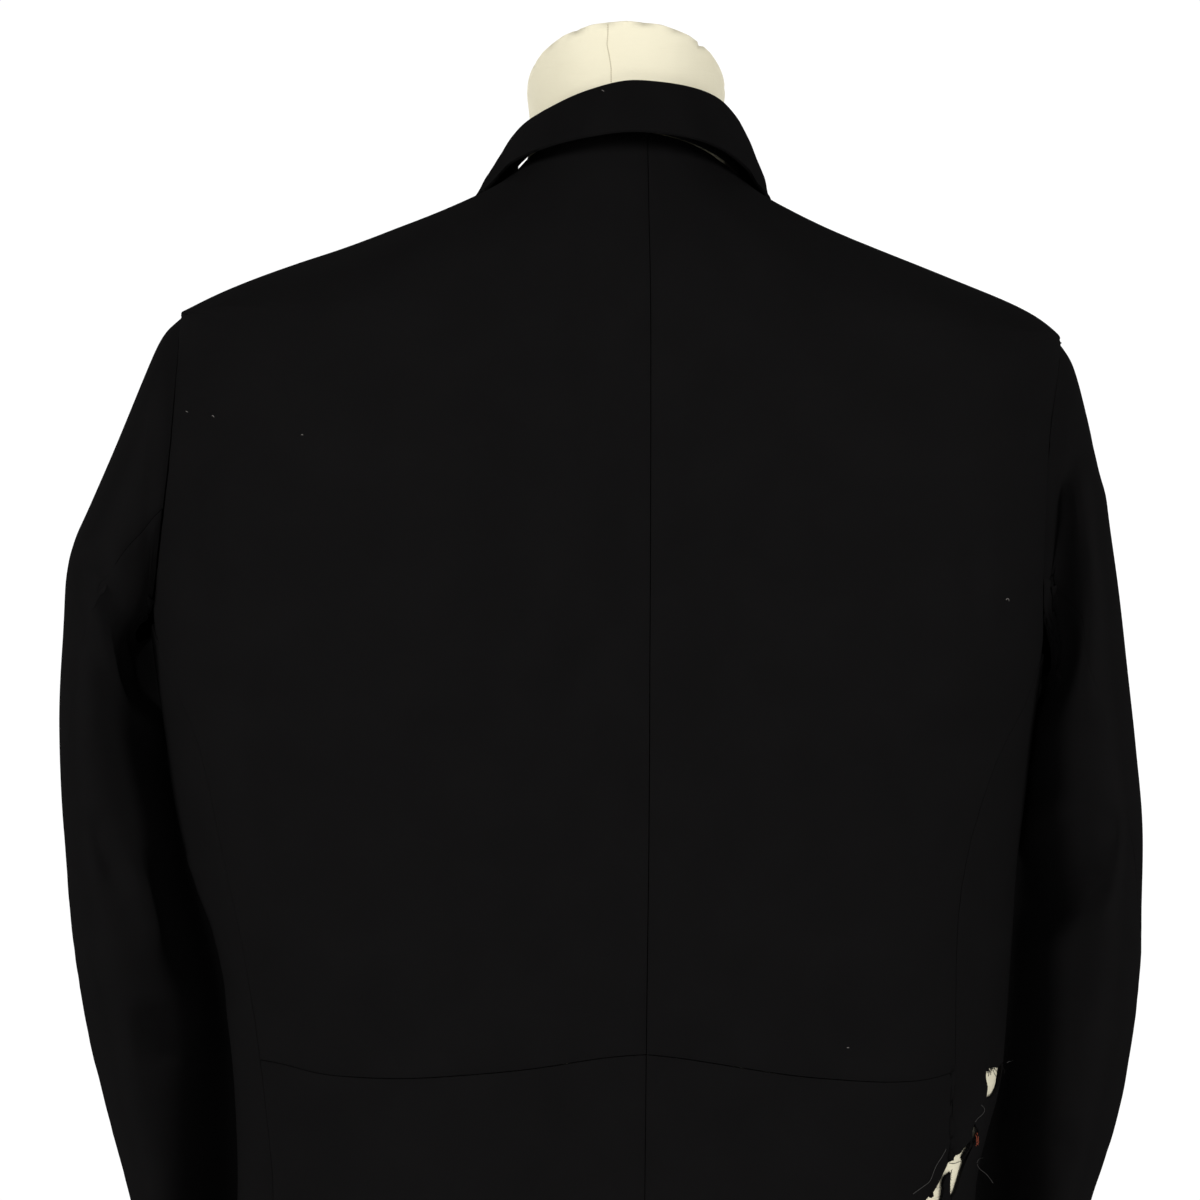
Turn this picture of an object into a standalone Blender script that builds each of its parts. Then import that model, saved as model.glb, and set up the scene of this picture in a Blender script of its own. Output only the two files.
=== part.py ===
"""A black wool blazer worn by a tabletop dress form, cut and joined as the real garment is.

Metres, +Z up. The wearer faces -Y, so the centre back seam is at +Y and the wearer's left is at +X.
The origin is the middle of the stand's underside.

The cloth is worked out from three surfaces: the body, from a table of level sections; each sleeve,
from a table of tilted sections; and the turned collar and lapels, from their fold lines. Every
cloth piece is a patch of one of them with a wall of its own, and neighbours stop short of a seam.
"""

import math

import bmesh
import bpy
from mathutils import Vector

# ---------------------------------------------------------------- driving dimensions
WALL = 0.002  # wool, canvas and what backs it
SEAM = 0.00025  # each piece stops this far from a seam line, 0.5 mm between the two
SIDE_SEAM = 0.0006  # the side panels keep a little more, where seams curve most
HEM_Z = 0.075
TOE_Z = 0.275  # below this the front edges curve away from each other
TOE_CUT = 0.065  # how far they have gone at the hem
TOE_ROUND = 0.016  # how far the hem lifts at their corners
FRONT_LAP = 0.020  # each front passes the middle by this
BREAK_Z = 0.420  # where the lapels start to turn back
NECK_X = -0.0066  # middle of the neck
NECK_BACK_Z = 0.828
NECK_SIDE_Z = 0.8050
SHOULDER_TURN = math.radians(-2.0)  # the shoulder seam lies just in front of the ridge
ARMHOLE_GAP = 0.0012

LEFT, RIGHT = 1, -1
SIDES = {LEFT: "left", RIGHT: "right"}

# Level sections of the body: half widths to the wearer's left and right, the middle of the back
# and of the front, and how square the back and the front are.
BODY = [
    # z, left, right, back, front, back_square, front_square
    (0.060, 0.2225, 0.2190, 0.1370, 0.1310, 2.50, 2.40),
    (0.100, 0.2180, 0.2120, 0.1350, 0.1300, 2.50, 2.40),
    (0.150, 0.2125, 0.2045, 0.1310, 0.1280, 2.50, 2.40),
    (0.200, 0.2088, 0.1990, 0.1260, 0.1255, 2.52, 2.40),
    (0.256, 0.2072, 0.1985, 0.1190, 0.1225, 2.55, 2.40),
    (0.289, 0.2080, 0.2070, 0.1140, 0.1200, 2.58, 2.40),
    (0.322, 0.2100, 0.2140, 0.1105, 0.1185, 2.60, 2.40),
    (0.350, 0.2120, 0.2165, 0.1090, 0.1180, 2.60, 2.40),
    (0.377, 0.2190, 0.2185, 0.1085, 0.1185, 2.62, 2.40),
    (0.410, 0.2282, 0.2208, 0.1095, 0.1200, 2.65, 2.40),
    (0.440, 0.2375, 0.2232, 0.1115, 0.1215, 2.75, 2.40),
    (0.4925, 0.2456, 0.2292, 0.1160, 0.1250, 2.95, 2.42),
    (0.550, 0.2530, 0.2358, 0.1200, 0.1275, 3.20, 2.50),
    (0.600, 0.2545, 0.2405, 0.1220, 0.1275, 3.30, 2.55),
    (0.650, 0.2500, 0.2425, 0.1215, 0.1240, 3.30, 2.55),
    (0.700, 0.2440, 0.2450, 0.1175, 0.1140, 3.10, 2.50),
    (0.7185, 0.2405, 0.2445, 0.1145, 0.1080, 2.90, 2.45),
    (0.7325, 0.2368, 0.2310, 0.1115, 0.1020, 2.75, 2.40),
    (0.7400, 0.2262, 0.2145, 0.1095, 0.0985, 2.65, 2.35),
    (0.7538, 0.1885, 0.1772, 0.1050, 0.0900, 2.50, 2.30),
    (0.7675, 0.1486, 0.1428, 0.0995, 0.0805, 2.38, 2.25),
    (0.7812, 0.1130, 0.1125, 0.0930, 0.0705, 2.28, 2.20),
    (0.7930, 0.0845, 0.0868, 0.0865, 0.0620, 2.22, 2.15),
    (0.7990, 0.0695, 0.0770, 0.0825, 0.0580, 2.18, 2.12),
    (0.8060, 0.0575, 0.0700, 0.0785, 0.0545, 2.15, 2.10),
    (0.8170, 0.0530, 0.0660, 0.0735, 0.0510, 2.10, 2.05),
    (0.8290, 0.0510, 0.0640, 0.0685, 0.0490, 2.10, 2.05),
    (0.8400, 0.0500, 0.0630, 0.0655, 0.0480, 2.10, 2.05),
]

# Seam lines of the body, read at a height.
CENTRE_BACK_X = [
    # z, x
    (0.060, -0.0135),
    (0.300, -0.0165),
    (0.500, -0.0185),
    (0.720, -0.0192),
    (0.830, -0.0180),
]
SIDE_BACK_X = {
    LEFT: [
        # z, distance from the middle
        (0.0600, 0.1960),
        (0.2000, 0.1835),
        (0.2658, 0.1836),
        (0.2925, 0.1873),
        (0.3458, 0.1937),
        (0.3725, 0.1980),
        (0.4098, 0.2049),
        (0.4418, 0.2118),
        (0.4765, 0.2182),
        (0.5110, 0.2266),
        (0.5376, 0.2351),
        (0.5620, 0.2440),
    ],
    RIGHT: [
        (0.0600, 0.1900),
        (0.2500, 0.1815),
        (0.3300, 0.1836),
        (0.4034, 0.1842),
        (0.4400, 0.1890),
        (0.4900, 0.2050),
        (0.5460, 0.2270),
    ],
}
SIDE_FRONT_Y = [(0.06, -0.062), (0.30, -0.056), (0.45, -0.052), (0.57, -0.040)]
WAIST_SEAM_Z = [
    # x, z: the seam arches at the centre back and lifts again at its ends
    (-0.2600, 0.3260),
    (-0.1836, 0.3217),
    (-0.1713, 0.3185),
    (-0.1526, 0.3175),
    (-0.1252, 0.3193),
    (-0.0930, 0.3227),
    (-0.0665, 0.3270),
    (-0.0400, 0.3313),
    (-0.0177, 0.3340),
    (-0.0029, 0.3335),
    (0.0183, 0.3303),
    (0.0500, 0.3255),
    (0.0872, 0.3222),
    (0.1140, 0.3204),
    (0.1440, 0.3208),
    (0.1626, 0.3220),
    (0.1760, 0.3258),
    (0.1900, 0.3271),
    (0.2600, 0.3300),
]

# Armholes, as ovals seen from the side: middle y and z, half width and half height.
ARMHOLE = {
    LEFT: {"y": 0.002, "z": 0.6400, "half_y": 0.064, "half_z": 0.0925, "square": 2.3},
    RIGHT: {"y": 0.002, "z": 0.62425, "half_y": 0.063, "half_z": 0.09425, "square": 2.3},
}
SIDE_PANEL_TOP = {LEFT: 0.562, RIGHT: 0.546}  # where the side seams run into the armhole

# Sleeve sections from the armhole to the cuff: outermost and innermost point, how far the section
# reaches back and forward, and how far its innermost point lies ahead of its middle. The first row
# is the armhole itself.
SLEEVE = {
    LEFT: [
        # out_x, out_z, in_x, in_z, back_y, front_y, lean
        (0.2368, 0.7325, 0.2528, 0.5475, 0.066, -0.062, 0.000),
        (0.2470, 0.7225, 0.2545, 0.5395, 0.066, -0.067, 0.002),
        (0.2572, 0.6987, 0.2540, 0.5330, 0.068, -0.070, 0.006),
        (0.2735, 0.6575, 0.2528, 0.5240, 0.072, -0.075, 0.011),
        (0.2912, 0.6162, 0.2508, 0.5120, 0.074, -0.079, 0.016),
        (0.2990, 0.5960, 0.2490, 0.4990, 0.071, -0.082, 0.020),
        (0.3003, 0.5700, 0.2468, 0.4850, 0.064, -0.086, 0.024),
        (0.3030, 0.5260, 0.2425, 0.4620, 0.059, -0.092, 0.028),
        (0.3030, 0.4790, 0.2360, 0.4350, 0.060, -0.096, 0.030),
        (0.3001, 0.4350, 0.2262, 0.4020, 0.057, -0.100, 0.030),
        (0.2979, 0.3950, 0.2172, 0.3720, 0.050, -0.104, 0.030),
        (0.2922, 0.3525, 0.2108, 0.3430, 0.043, -0.108, 0.030),
        (0.2843, 0.3137, 0.2088, 0.3060, 0.035, -0.113, 0.030),
        (0.2733, 0.2725, 0.2068, 0.2680, 0.025, -0.118, 0.030),
        (0.2625, 0.2300, 0.2062, 0.2280, 0.014, -0.124, 0.030),
        (0.2560, 0.1850, 0.2062, 0.1840, 0.004, -0.130, 0.026),
        (0.2500, 0.1280, 0.2060, 0.1280, -0.008, -0.138, 0.022),
    ],
    RIGHT: [
        (0.2445, 0.7185, 0.2340, 0.5300, 0.065, -0.061, 0.000),
        (0.2508, 0.7080, 0.2352, 0.5215, 0.063, -0.066, 0.002),
        (0.2552, 0.6950, 0.2346, 0.5150, 0.062, -0.070, 0.006),
        (0.2646, 0.6575, 0.2335, 0.5050, 0.062, -0.075, 0.011),
        (0.2695, 0.6250, 0.2324, 0.4950, 0.065, -0.079, 0.016),
        (0.2740, 0.5930, 0.2312, 0.4850, 0.066, -0.082, 0.020),
        (0.2790, 0.5560, 0.2296, 0.4720, 0.063, -0.086, 0.024),
        (0.2835, 0.5140, 0.2272, 0.4530, 0.060, -0.092, 0.028),
        (0.2888, 0.4650, 0.2245, 0.4280, 0.058, -0.096, 0.030),
        (0.2889, 0.4300, 0.2214, 0.4000, 0.055, -0.100, 0.030),
        (0.2893, 0.3850, 0.2184, 0.3700, 0.050, -0.104, 0.030),
        (0.2877, 0.3550, 0.2152, 0.3420, 0.044, -0.108, 0.030),
        (0.2822, 0.3137, 0.2106, 0.3050, 0.036, -0.113, 0.030),
        (0.2734, 0.2725, 0.2040, 0.2670, 0.026, -0.118, 0.030),
        (0.2600, 0.2350, 0.2010, 0.2290, 0.015, -0.124, 0.030),
        (0.2530, 0.1850, 0.2010, 0.1830, 0.004, -0.130, 0.026),
        (0.2470, 0.1280, 0.2010, 0.1280, -0.008, -0.138, 0.022),
    ],
}
SLEEVE_SQUARE = 2.25
# Elbow seam across each section as seen from behind: 1 at its outermost point, -1 at its innermost.
ELBOW_SEAM = {
    LEFT: (-0.17, -0.17, -0.08, 0.14, 0.27, 0.36, 0.51, 0.63, 0.79, 0.90, 0.95, 0.96, 0.96, 0.95)
    + (0.94, 0.92, 0.90),
    RIGHT: (-0.40, -0.37, -0.32, -0.21, -0.08, 0.07, 0.25, 0.43, 0.67, 0.80, 0.95, 0.96, 0.93)
    + (0.92, 0.92, 0.91, 0.90),
}
FOREARM_SEAM = 236.0
SLEEVE_ROWS = (0, 0.35, 0.7, 1.2, 2, 3, 4, 5, 5.6, 6.3, 7, 8, 9, 10, 11, 12, 13, 14, 15, 16)

# Large soft folds of the sleeves: section, degrees round, depth, and reach in sections and degrees.
SLEEVE_FOLDS = {
    LEFT: [
        (5.9, 112, -0.0075, 0.85, 34),
        (7.7, 92, 0.0035, 1.00, 32),
        (9.6, 104, -0.0060, 0.70, 38),
        (10.8, 70, 0.0035, 0.80, 34),
        (12.2, 108, -0.0055, 0.75, 36),
        (13.6, 66, 0.0025, 0.80, 34),
        (9.4, 262, -0.0050, 0.70, 34),
        (11.3, 292, -0.0045, 0.80, 36),
    ],
    RIGHT: [
        (3.0, 96, -0.0050, 0.90, 34),
        (4.9, 62, 0.0030, 0.90, 30),
        (8.3, 112, -0.0060, 0.80, 36),
        (9.6, 70, 0.0035, 0.90, 34),
        (10.9, 112, -0.0055, 0.70, 36),
        (12.2, 76, 0.0035, 0.80, 34),
        (9.2, 262, -0.0050, 0.70, 34),
        (11.2, 292, -0.0045, 0.80, 36),
    ],
}

# Largest drapes of the body: where they start and end on the back or the front, depth and width.
BODY_DRAPES = [
    # x0, z0, x1, z1, depth, width, on the back
    (0.196, 0.690, 0.186, 0.440, -0.0030, 0.014, True),
    (0.146, 0.640, 0.152, 0.400, -0.0016, 0.012, True),
    (0.100, 0.610, 0.092, 0.360, 0.0016, 0.016, True),
    (-0.090, 0.640, -0.072, 0.380, -0.0018, 0.014, True),
    (-0.150, 0.600, -0.168, 0.400, -0.0018, 0.014, True),
    (-0.196, 0.660, -0.190, 0.450, 0.0020, 0.014, True),
    (0.120, 0.300, 0.150, 0.080, 0.0030, 0.020, True),
    (-0.100, 0.310, -0.120, 0.080, 0.0030, 0.022, True),
    (0.015, 0.400, 0.130, 0.480, -0.0028, 0.012, False),
    (-0.020, 0.400, -0.130, 0.470, -0.0028, 0.012, False),
    (0.030, 0.385, 0.140, 0.350, 0.0022, 0.014, False),
    (-0.035, 0.385, -0.140, 0.350, 0.0022, 0.014, False),
    (0.140, 0.300, 0.150, 0.090, 0.0025, 0.018, False),
    (-0.130, 0.300, -0.140, 0.090, 0.0025, 0.018, False),
]

# Tears at the wearer's right hip, as outlines seen from behind.
TEAR_HIP = [
    (-0.2012, 0.3208), (-0.2040, 0.3213), (-0.2082, 0.3206), (-0.2121, 0.3219),
    (-0.2117, 0.3168), (-0.2102, 0.3111), (-0.2080, 0.3073), (-0.2040, 0.3051),
    (-0.2012, 0.3062), (-0.2026, 0.3105), (-0.2010, 0.3165),
]
TEAR_SLIT = [
    (-0.1939, 0.2917), (-0.1967, 0.2888), (-0.1968, 0.2856), (-0.1948, 0.2815),
    (-0.1931, 0.2805), (-0.1938, 0.2850),
]
TEAR_LONG = [
    (-0.1916, 0.2816), (-0.1919, 0.2778), (-0.1884, 0.2727), (-0.1852, 0.2703),
    (-0.1801, 0.2663), (-0.1783, 0.2655), (-0.1768, 0.2600), (-0.1763, 0.2538),
    (-0.1730, 0.2480), (-0.1655, 0.2410), (-0.1600, 0.2385), (-0.1625, 0.2440),
    (-0.1671, 0.2538), (-0.1711, 0.2565), (-0.1752, 0.2624), (-0.1774, 0.2672),
    (-0.1793, 0.2708), (-0.1809, 0.2751), (-0.1874, 0.2761), (-0.1888, 0.2794),
]
TEARS = {"side_right": [TEAR_HIP, TEAR_SLIT, TEAR_LONG], "skirt_right": [TEAR_LONG]}

# The dress form's own sections, which never come nearer the cloth than the clearance.
FORM = [
    # z, left, right, back, front
    (0.105, 0.176, 0.178, 0.092, 0.090),
    (0.150, 0.186, 0.192, 0.100, 0.096),
    (0.220, 0.193, 0.208, 0.106, 0.101),
    (0.290, 0.196, 0.214, 0.106, 0.101),
    (0.350, 0.188, 0.214, 0.096, 0.095),
    (0.420, 0.172, 0.184, 0.086, 0.092),
    (0.500, 0.178, 0.178, 0.094, 0.103),
    (0.580, 0.192, 0.190, 0.104, 0.112),
    (0.650, 0.196, 0.196, 0.106, 0.104),
    (0.700, 0.190, 0.190, 0.100, 0.088),
    (0.7305, 0.176, 0.178, 0.094, 0.074),
    (0.7538, 0.152, 0.150, 0.089, 0.068),
    (0.7675, 0.138, 0.134, 0.086, 0.065),
    (0.7812, 0.112, 0.112, 0.083, 0.062),
    (0.7950, 0.080, 0.086, 0.079, 0.060),
    (0.8060, 0.060, 0.062, 0.073, 0.058),
    (0.8170, 0.0545, 0.0545, 0.0640, 0.0580),
    (0.8290, 0.0530, 0.0530, 0.0590, 0.0580),
    (0.8400, 0.0528, 0.0528, 0.0575, 0.0590),
    (0.8500, 0.0545, 0.0545, 0.0570, 0.0600),
    (0.8650, 0.0558, 0.0558, 0.0565, 0.0610),
    (0.8900, 0.0562, 0.0562, 0.0565, 0.0620),
]
FORM_SQUARE = 2.35
NECK_SQUARE = 2.15
FORM_CLEAR = 0.0010
NECK_CLEAR = 0.0022
HIP_CLEAR = 0.0025
FORM_TOP_Z = 0.8490  # height of the sloping neck top at the middle of the neck
FORM_TOP_SLOPE = 0.68
FORM_LEAN_Z = 0.790  # where the form's sections start to lean with it
FORM_SIDES = 40

STAND_RADIUS = 0.145
STAND_THICK = 0.010
COLUMN_RADIUS = 0.016
TOUCH = 0.0003

BUTTON_RADIUS = 0.0105
BUTTON_THICK = 0.0040
BUTTON_ZS = (0.405, 0.305)

COLOURS = {
    # name: colour, roughness, metallic
    "wool": ((0.0080, 0.0078, 0.0080), 0.80, 0.0),
    "linen": ((0.76, 0.72, 0.60), 0.90, 0.0),
    "horn": ((0.012, 0.011, 0.010), 0.35, 0.0),
    "steel": ((0.045, 0.045, 0.048), 0.42, 0.9),
}


# ---------------------------------------------------------------- small tools
def smooth_step(value, low, high):
    """0 below low, 1 above high, and an even S between. low may be the larger."""
    t = max(0.0, min(1.0, (value - low) / (high - low)))
    return t * t * (3.0 - 2.0 * t)


def read_table(rows, at, column=1):
    """The column's value at the height or length `at`, along a curve through the rows."""
    keys = [row[0] for row in rows]
    if at <= keys[0]:
        return rows[0][column]
    if at >= keys[-1]:
        return rows[-1][column]
    i = max(n for n, key in enumerate(keys) if key <= at)
    return hermite(keys, [row[column] for row in rows], i, at)


def hermite(keys, values, i, at):
    """A cubic between keys i and i + 1 whose slopes never overshoot the values."""

    def slope(n):
        if n in (0, len(keys) - 1):
            return 0.0 if n else (values[1] - values[0]) / (keys[1] - keys[0])
        before = (values[n] - values[n - 1]) / (keys[n] - keys[n - 1])
        after = (values[n + 1] - values[n]) / (keys[n + 1] - keys[n])
        if before * after <= 0:
            return 0.0
        return 2.0 * before * after / (before + after)

    span = keys[i + 1] - keys[i]
    t = (at - keys[i]) / span
    s0, s1 = slope(i) * span, slope(i + 1) * span
    a, b = values[i], values[i + 1]
    return (
        a * (1 + 2 * t) * (1 - t) ** 2
        + s0 * t * (1 - t) ** 2
        + b * t * t * (3 - 2 * t)
        + s1 * t * t * (t - 1)
    )


def span(first, last, count):
    """count values from first to last, both included."""
    return [first + (last - first) * n / (count - 1) for n in range(count)]


def normal_of(surface, u, v, du, dv):
    """Unit normal of surface(u, v), turned the way the surface's own axes give it."""
    along_u = surface(u + du, v) - surface(u - du, v)
    along_v = surface(u, v + dv) - surface(u, v - dv)
    return along_u.cross(along_v).normalized()


def material(name):
    """The Principled material of that name, made the first time that it is asked for."""
    found = bpy.data.materials.get(name)
    if found:
        return found
    colour, roughness, metallic = COLOURS[name]
    made = bpy.data.materials.new(name)
    made.use_nodes = True
    shader = made.node_tree.nodes["Principled BSDF"]
    shader.inputs["Base Color"].default_value = (*colour, 1.0)
    shader.inputs["Roughness"].default_value = roughness
    shader.inputs["Metallic"].default_value = metallic
    return made


def add_object(name, mesh_maker, finish):
    """An object whose mesh is what a bmesh holds, with its material, shaded smooth but for edges."""
    mesh = bpy.data.meshes.new(name)
    mesh_maker.to_mesh(mesh)
    mesh_maker.free()
    obj = bpy.data.objects.new(name, mesh)
    bpy.context.scene.collection.objects.link(obj)
    mesh.materials.append(material(finish))
    mesh.shade_smooth()
    mesh.set_sharp_from_angle(angle=math.radians(50))
    return obj


def add_wall(name, outer, inner, finish="wool"):
    """A closed cloth wall between two grids of points, outer and inner, joined round their rims."""
    rows, columns = len(outer), len(outer[0])
    bm = bmesh.new()
    layers = [[[bm.verts.new(p) for p in row] for row in grid] for grid in (outer, inner)]
    out, inn = layers
    for r in range(rows - 1):
        for c in range(columns - 1):
            bm.faces.new((out[r][c], out[r][c + 1], out[r + 1][c + 1], out[r + 1][c]))
            bm.faces.new((inn[r][c], inn[r + 1][c], inn[r + 1][c + 1], inn[r][c + 1]))
    rim = (
        [(0, c) for c in range(columns)]
        + [(r, columns - 1) for r in range(1, rows)]
        + [(rows - 1, c) for c in range(columns - 2, -1, -1)]
        + [(r, 0) for r in range(rows - 2, 0, -1)]
    )
    for n, (r, c) in enumerate(rim):
        s, d = rim[(n + 1) % len(rim)]
        bm.faces.new((out[r][c], inn[r][c], inn[s][d], out[s][d]))
    bmesh.ops.recalc_face_normals(bm, faces=bm.faces)
    return add_object(name, bm, finish)


# ---------------------------------------------------------------- the body's surface
def body_radius(angle, z):
    """Distance from the axis to the body's surface, at an angle from +X towards the back."""
    across = read_table(BODY, z, 1 if math.cos(angle) >= 0 else 2)
    back = math.sin(angle) >= 0
    deep = read_table(BODY, z, 3 if back else 4)
    square = read_table(BODY, z, 5 if back else 6)
    share = abs(math.cos(angle) / across) ** square + abs(math.sin(angle) / deep) ** square
    return share ** (-1.0 / square)


def drape(x, y, z):
    """How far the body's large soft drapes move the cloth out, or in where it is below 0."""
    total = 0.0
    for x0, z0, x1, z1, depth, width, on_back in BODY_DRAPES:
        if on_back != (y > 0):
            continue
        run = Vector((x1 - x0, z1 - z0))
        t = Vector((x - x0, z - z0)).dot(run) / run.length_squared
        off = (Vector((x - x0, z - z0)) - run * t).length
        ends = smooth_step(t, -0.25, 0.3) * smooth_step(t, 1.25, 0.7)
        total += depth * ends * math.exp(-((off / width) ** 2))
    return total


def body_point(angle, z):
    """The body's surface at an angle and a height, with its drapes."""
    radius = body_radius(angle, z)
    x, y = radius * math.cos(angle), radius * math.sin(angle)
    radius += drape(x, y, z)
    return Vector((radius * math.cos(angle), radius * math.sin(angle), z))


def body_normal(angle, z):
    return normal_of(body_point, angle, z, 0.004, 0.0008)


def angle_of_x(x, z, back):
    """The angle at which the body's surface has this x at this height, on its back or front."""
    across = read_table(BODY, z, 1 if x >= 0 else 2)
    deep = read_table(BODY, z, 3 if back else 4)
    square = read_table(BODY, z, 5 if back else 6)
    share = min(1.0, abs(x) / across)
    y = deep * (1.0 - share**square) ** (1.0 / square)
    return math.atan2(y if back else -y, x)


def angle_of_y(y, z, side):
    """The angle at which the body's surface has this y at this height, on one side."""
    across = read_table(BODY, z, 1 if side == LEFT else 2)
    deep = read_table(BODY, z, 3 if y >= 0 else 4)
    square = read_table(BODY, z, 5 if y >= 0 else 6)
    x = across * (1.0 - min(1.0, abs(y) / deep) ** square) ** (1.0 / square)
    return math.atan2(y, x * side)


def half_turn_to(angle, side):
    """On the wearer's right, angles run on past 180 degrees, so that a patch never wraps."""
    return angle + 2 * math.pi if side == RIGHT and angle < 0 else angle


def centre_back_angle(z):
    return angle_of_x(read_table(CENTRE_BACK_X, z), z, True)


def side_back_angle(side, z):
    angle = angle_of_x(side * read_table(SIDE_BACK_X[side], z), z, True)
    top = SIDE_PANEL_TOP[side]
    share = smooth_step(z, top - 0.045, top)
    return angle + (armhole_angle(side, top, True) - angle) * share


def side_front_angle(side, z):
    angle = half_turn_to(angle_of_y(read_table(SIDE_FRONT_Y, z), z, side), side)
    top = SIDE_PANEL_TOP[side]
    share = smooth_step(z, top - 0.045, top)
    return angle + (armhole_angle(side, top, False) - angle) * share


def armhole_reach(side, z):
    """How far the armhole reaches back and forward of its middle at this height."""
    oval = ARMHOLE[side]
    rise = min(1.0, abs(z - oval["z"]) / oval["half_z"])
    return oval["half_y"] * (1.0 - rise ** oval["square"]) ** (1.0 / oval["square"])


def armhole_angle(side, z, back):
    """Where the armhole's edge crosses this height."""
    reach = armhole_reach(side, z)
    y = ARMHOLE[side]["y"] + (reach if back else -reach)
    return half_turn_to(angle_of_y(y, z, side), side)


def shoulder_angle(side):
    return SHOULDER_TURN if side == LEFT else math.pi - SHOULDER_TURN


def armhole_top(side):
    return ARMHOLE[side]["z"] + ARMHOLE[side]["half_z"]


def outer_angle(side, z, back):
    """The edge of a back or a front away from its middle: side seam, armhole or shoulder seam."""
    if z >= armhole_top(side) - 1e-6:
        return shoulder_angle(side)
    if z < SIDE_PANEL_TOP[side]:
        return side_back_angle(side, z) if back else side_front_angle(side, z)
    return armhole_angle(side, z, back)


def neck_z(angle):
    """Height of the neck seam: highest at the middle of the back."""
    share = max(0.0, math.sin(angle))
    return NECK_SIDE_Z + (NECK_BACK_Z - NECK_SIDE_Z) * share**1.5


def waist_z(x):
    return read_table(WAIST_SEAM_Z, x)


def inset(angle, z, towards, gap=SEAM):
    """angle moved a seam's half gap towards another angle."""
    return angle + math.copysign(gap / body_radius(angle, z), towards - angle)


def body_levels(side):
    """Heights of every row above the waist, as pairs: at the outer edge, and at the middle."""
    top, seam = armhole_top(side), SIDE_PANEL_TOP[side]
    low = [(z, z) for z in span(0.334, seam, LOW_ROWS + 1)[1:]]
    around = [seam + (top - seam) * t for t in ARMHOLE_SHARES]
    over = [top + (NECK_SIDE_Z - top) * t for t in SHOULDER_SHARES]
    outer = around + over
    way = span(1.0, 0.0, len(outer) + 1)[1:]
    inner = [seam + (NECK_SIDE_Z - 0.003 - seam) * (1.0 - left**1.25) for left in way]
    return low + list(zip(outer, inner))


ARMHOLE_SHARES = (0.13, 0.27, 0.41, 0.55, 0.68, 0.79, 0.88, 0.945, 0.98, 0.996, 1.0)
SHOULDER_SHARES = (0.16, 0.34, 0.53, 0.72, 0.89)
LOW_ROWS = 8
SKIRT_LEVELS = span(HEM_Z, 0.318, 9)


def seam_end(edge, z_at, start):
    """Angle of a seam where a row that climbs or dips along its way meets it."""
    angle = edge(start)
    for _ in range(3):
        angle = edge(z_at(angle))
    return angle


def even_row(first, last, z_at, columns):
    """Angles and heights of a row's points, evenly spaced along the cloth."""
    fine = 48
    angles = span(first, last, fine + 1)
    points = [body_point(a, z_at(a)) for a in angles]
    run = [0.0]
    for a, b in zip(points, points[1:]):
        run.append(run[-1] + (b - a).length)
    row = []
    for n in range(columns):
        want = run[-1] * n / (columns - 1)
        i = min(fine - 1, max(k for k in range(fine + 1) if run[k] <= want + 1e-12))
        t = (want - run[i]) / max(run[i + 1] - run[i], 1e-12)
        angle = angles[i] + (angles[i + 1] - angles[i]) * min(1.0, t)
        row.append((angle, z_at(angle)))
    return row


def body_patch(name, rows, lift=None):
    """A wall over rows of (angle, z). lift(point, z) moves the cloth out, or in below 0."""
    outer, inner = [], []
    for row in rows:
        out_row, in_row = [], []
        for angle, z in row:
            point, normal = body_point(angle, z), body_normal(angle, z)
            raised = lift(point, z) if lift else 0.0
            out_row.append(point + normal * raised)
            in_row.append(point + normal * (raised - WALL))
        outer.append(out_row)
        inner.append(in_row)
    return add_wall(name, outer, inner)


# ---------------------------------------------------------------- back, skirt and side panels
def back_rows(side, columns):
    """From the waist seam to the neck seam, between the centre back and the outer edge."""
    rows = []
    levels = [(0.334, 0.334), *body_levels(side)]
    for n, (outer, inner) in enumerate(levels):
        waist = smooth_step(n, 4, 0)
        neck = smooth_step(outer, 0.745, NECK_SIDE_Z)
        from_, to = centre_back_angle(inner), outer_angle(side, outer, True)

        def z_at(angle, ends=(outer, inner), waist=waist, neck=neck, way=(from_, to)):
            across = smooth_step(angle, way[0], way[1])
            level = ends[1] + (ends[0] - ends[1]) * across
            x = body_radius(angle, level) * math.cos(angle)
            bent = level + (waist_z(x) + SEAM - 0.334) * waist
            return bent + (neck_z(angle) - NECK_SIDE_Z) * neck

        first = seam_end(centre_back_angle, z_at, inner)
        last = to
        if outer < SIDE_PANEL_TOP[side]:
            last = seam_end(lambda z: side_back_angle(side, z), z_at, outer)
        first, last = inset(first, inner, last), inset(last, outer, first)
        rows.append(even_row(first, last, z_at, columns))
    top = [(a, neck_z(a) - SEAM) for a, _ in rows[-1]]
    return [*rows, top]


def skirt_rows(side, columns):
    """From the hem to the waist seam, between the centre back and the side-back seam."""
    rows = []
    for n, level in enumerate(SKIRT_LEVELS):
        share = n / (len(SKIRT_LEVELS) - 1)

        def z_at(angle, share=share):
            x = body_radius(angle, 0.32) * math.cos(angle)
            return HEM_Z + (waist_z(x) - SEAM - HEM_Z) * share

        first = seam_end(centre_back_angle, z_at, level)
        last = seam_end(lambda z: side_back_angle(side, z), z_at, level)
        first, last = inset(first, level, last), inset(last, level, first)
        rows.append(even_row(first, last, z_at, columns))
    return rows


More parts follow.
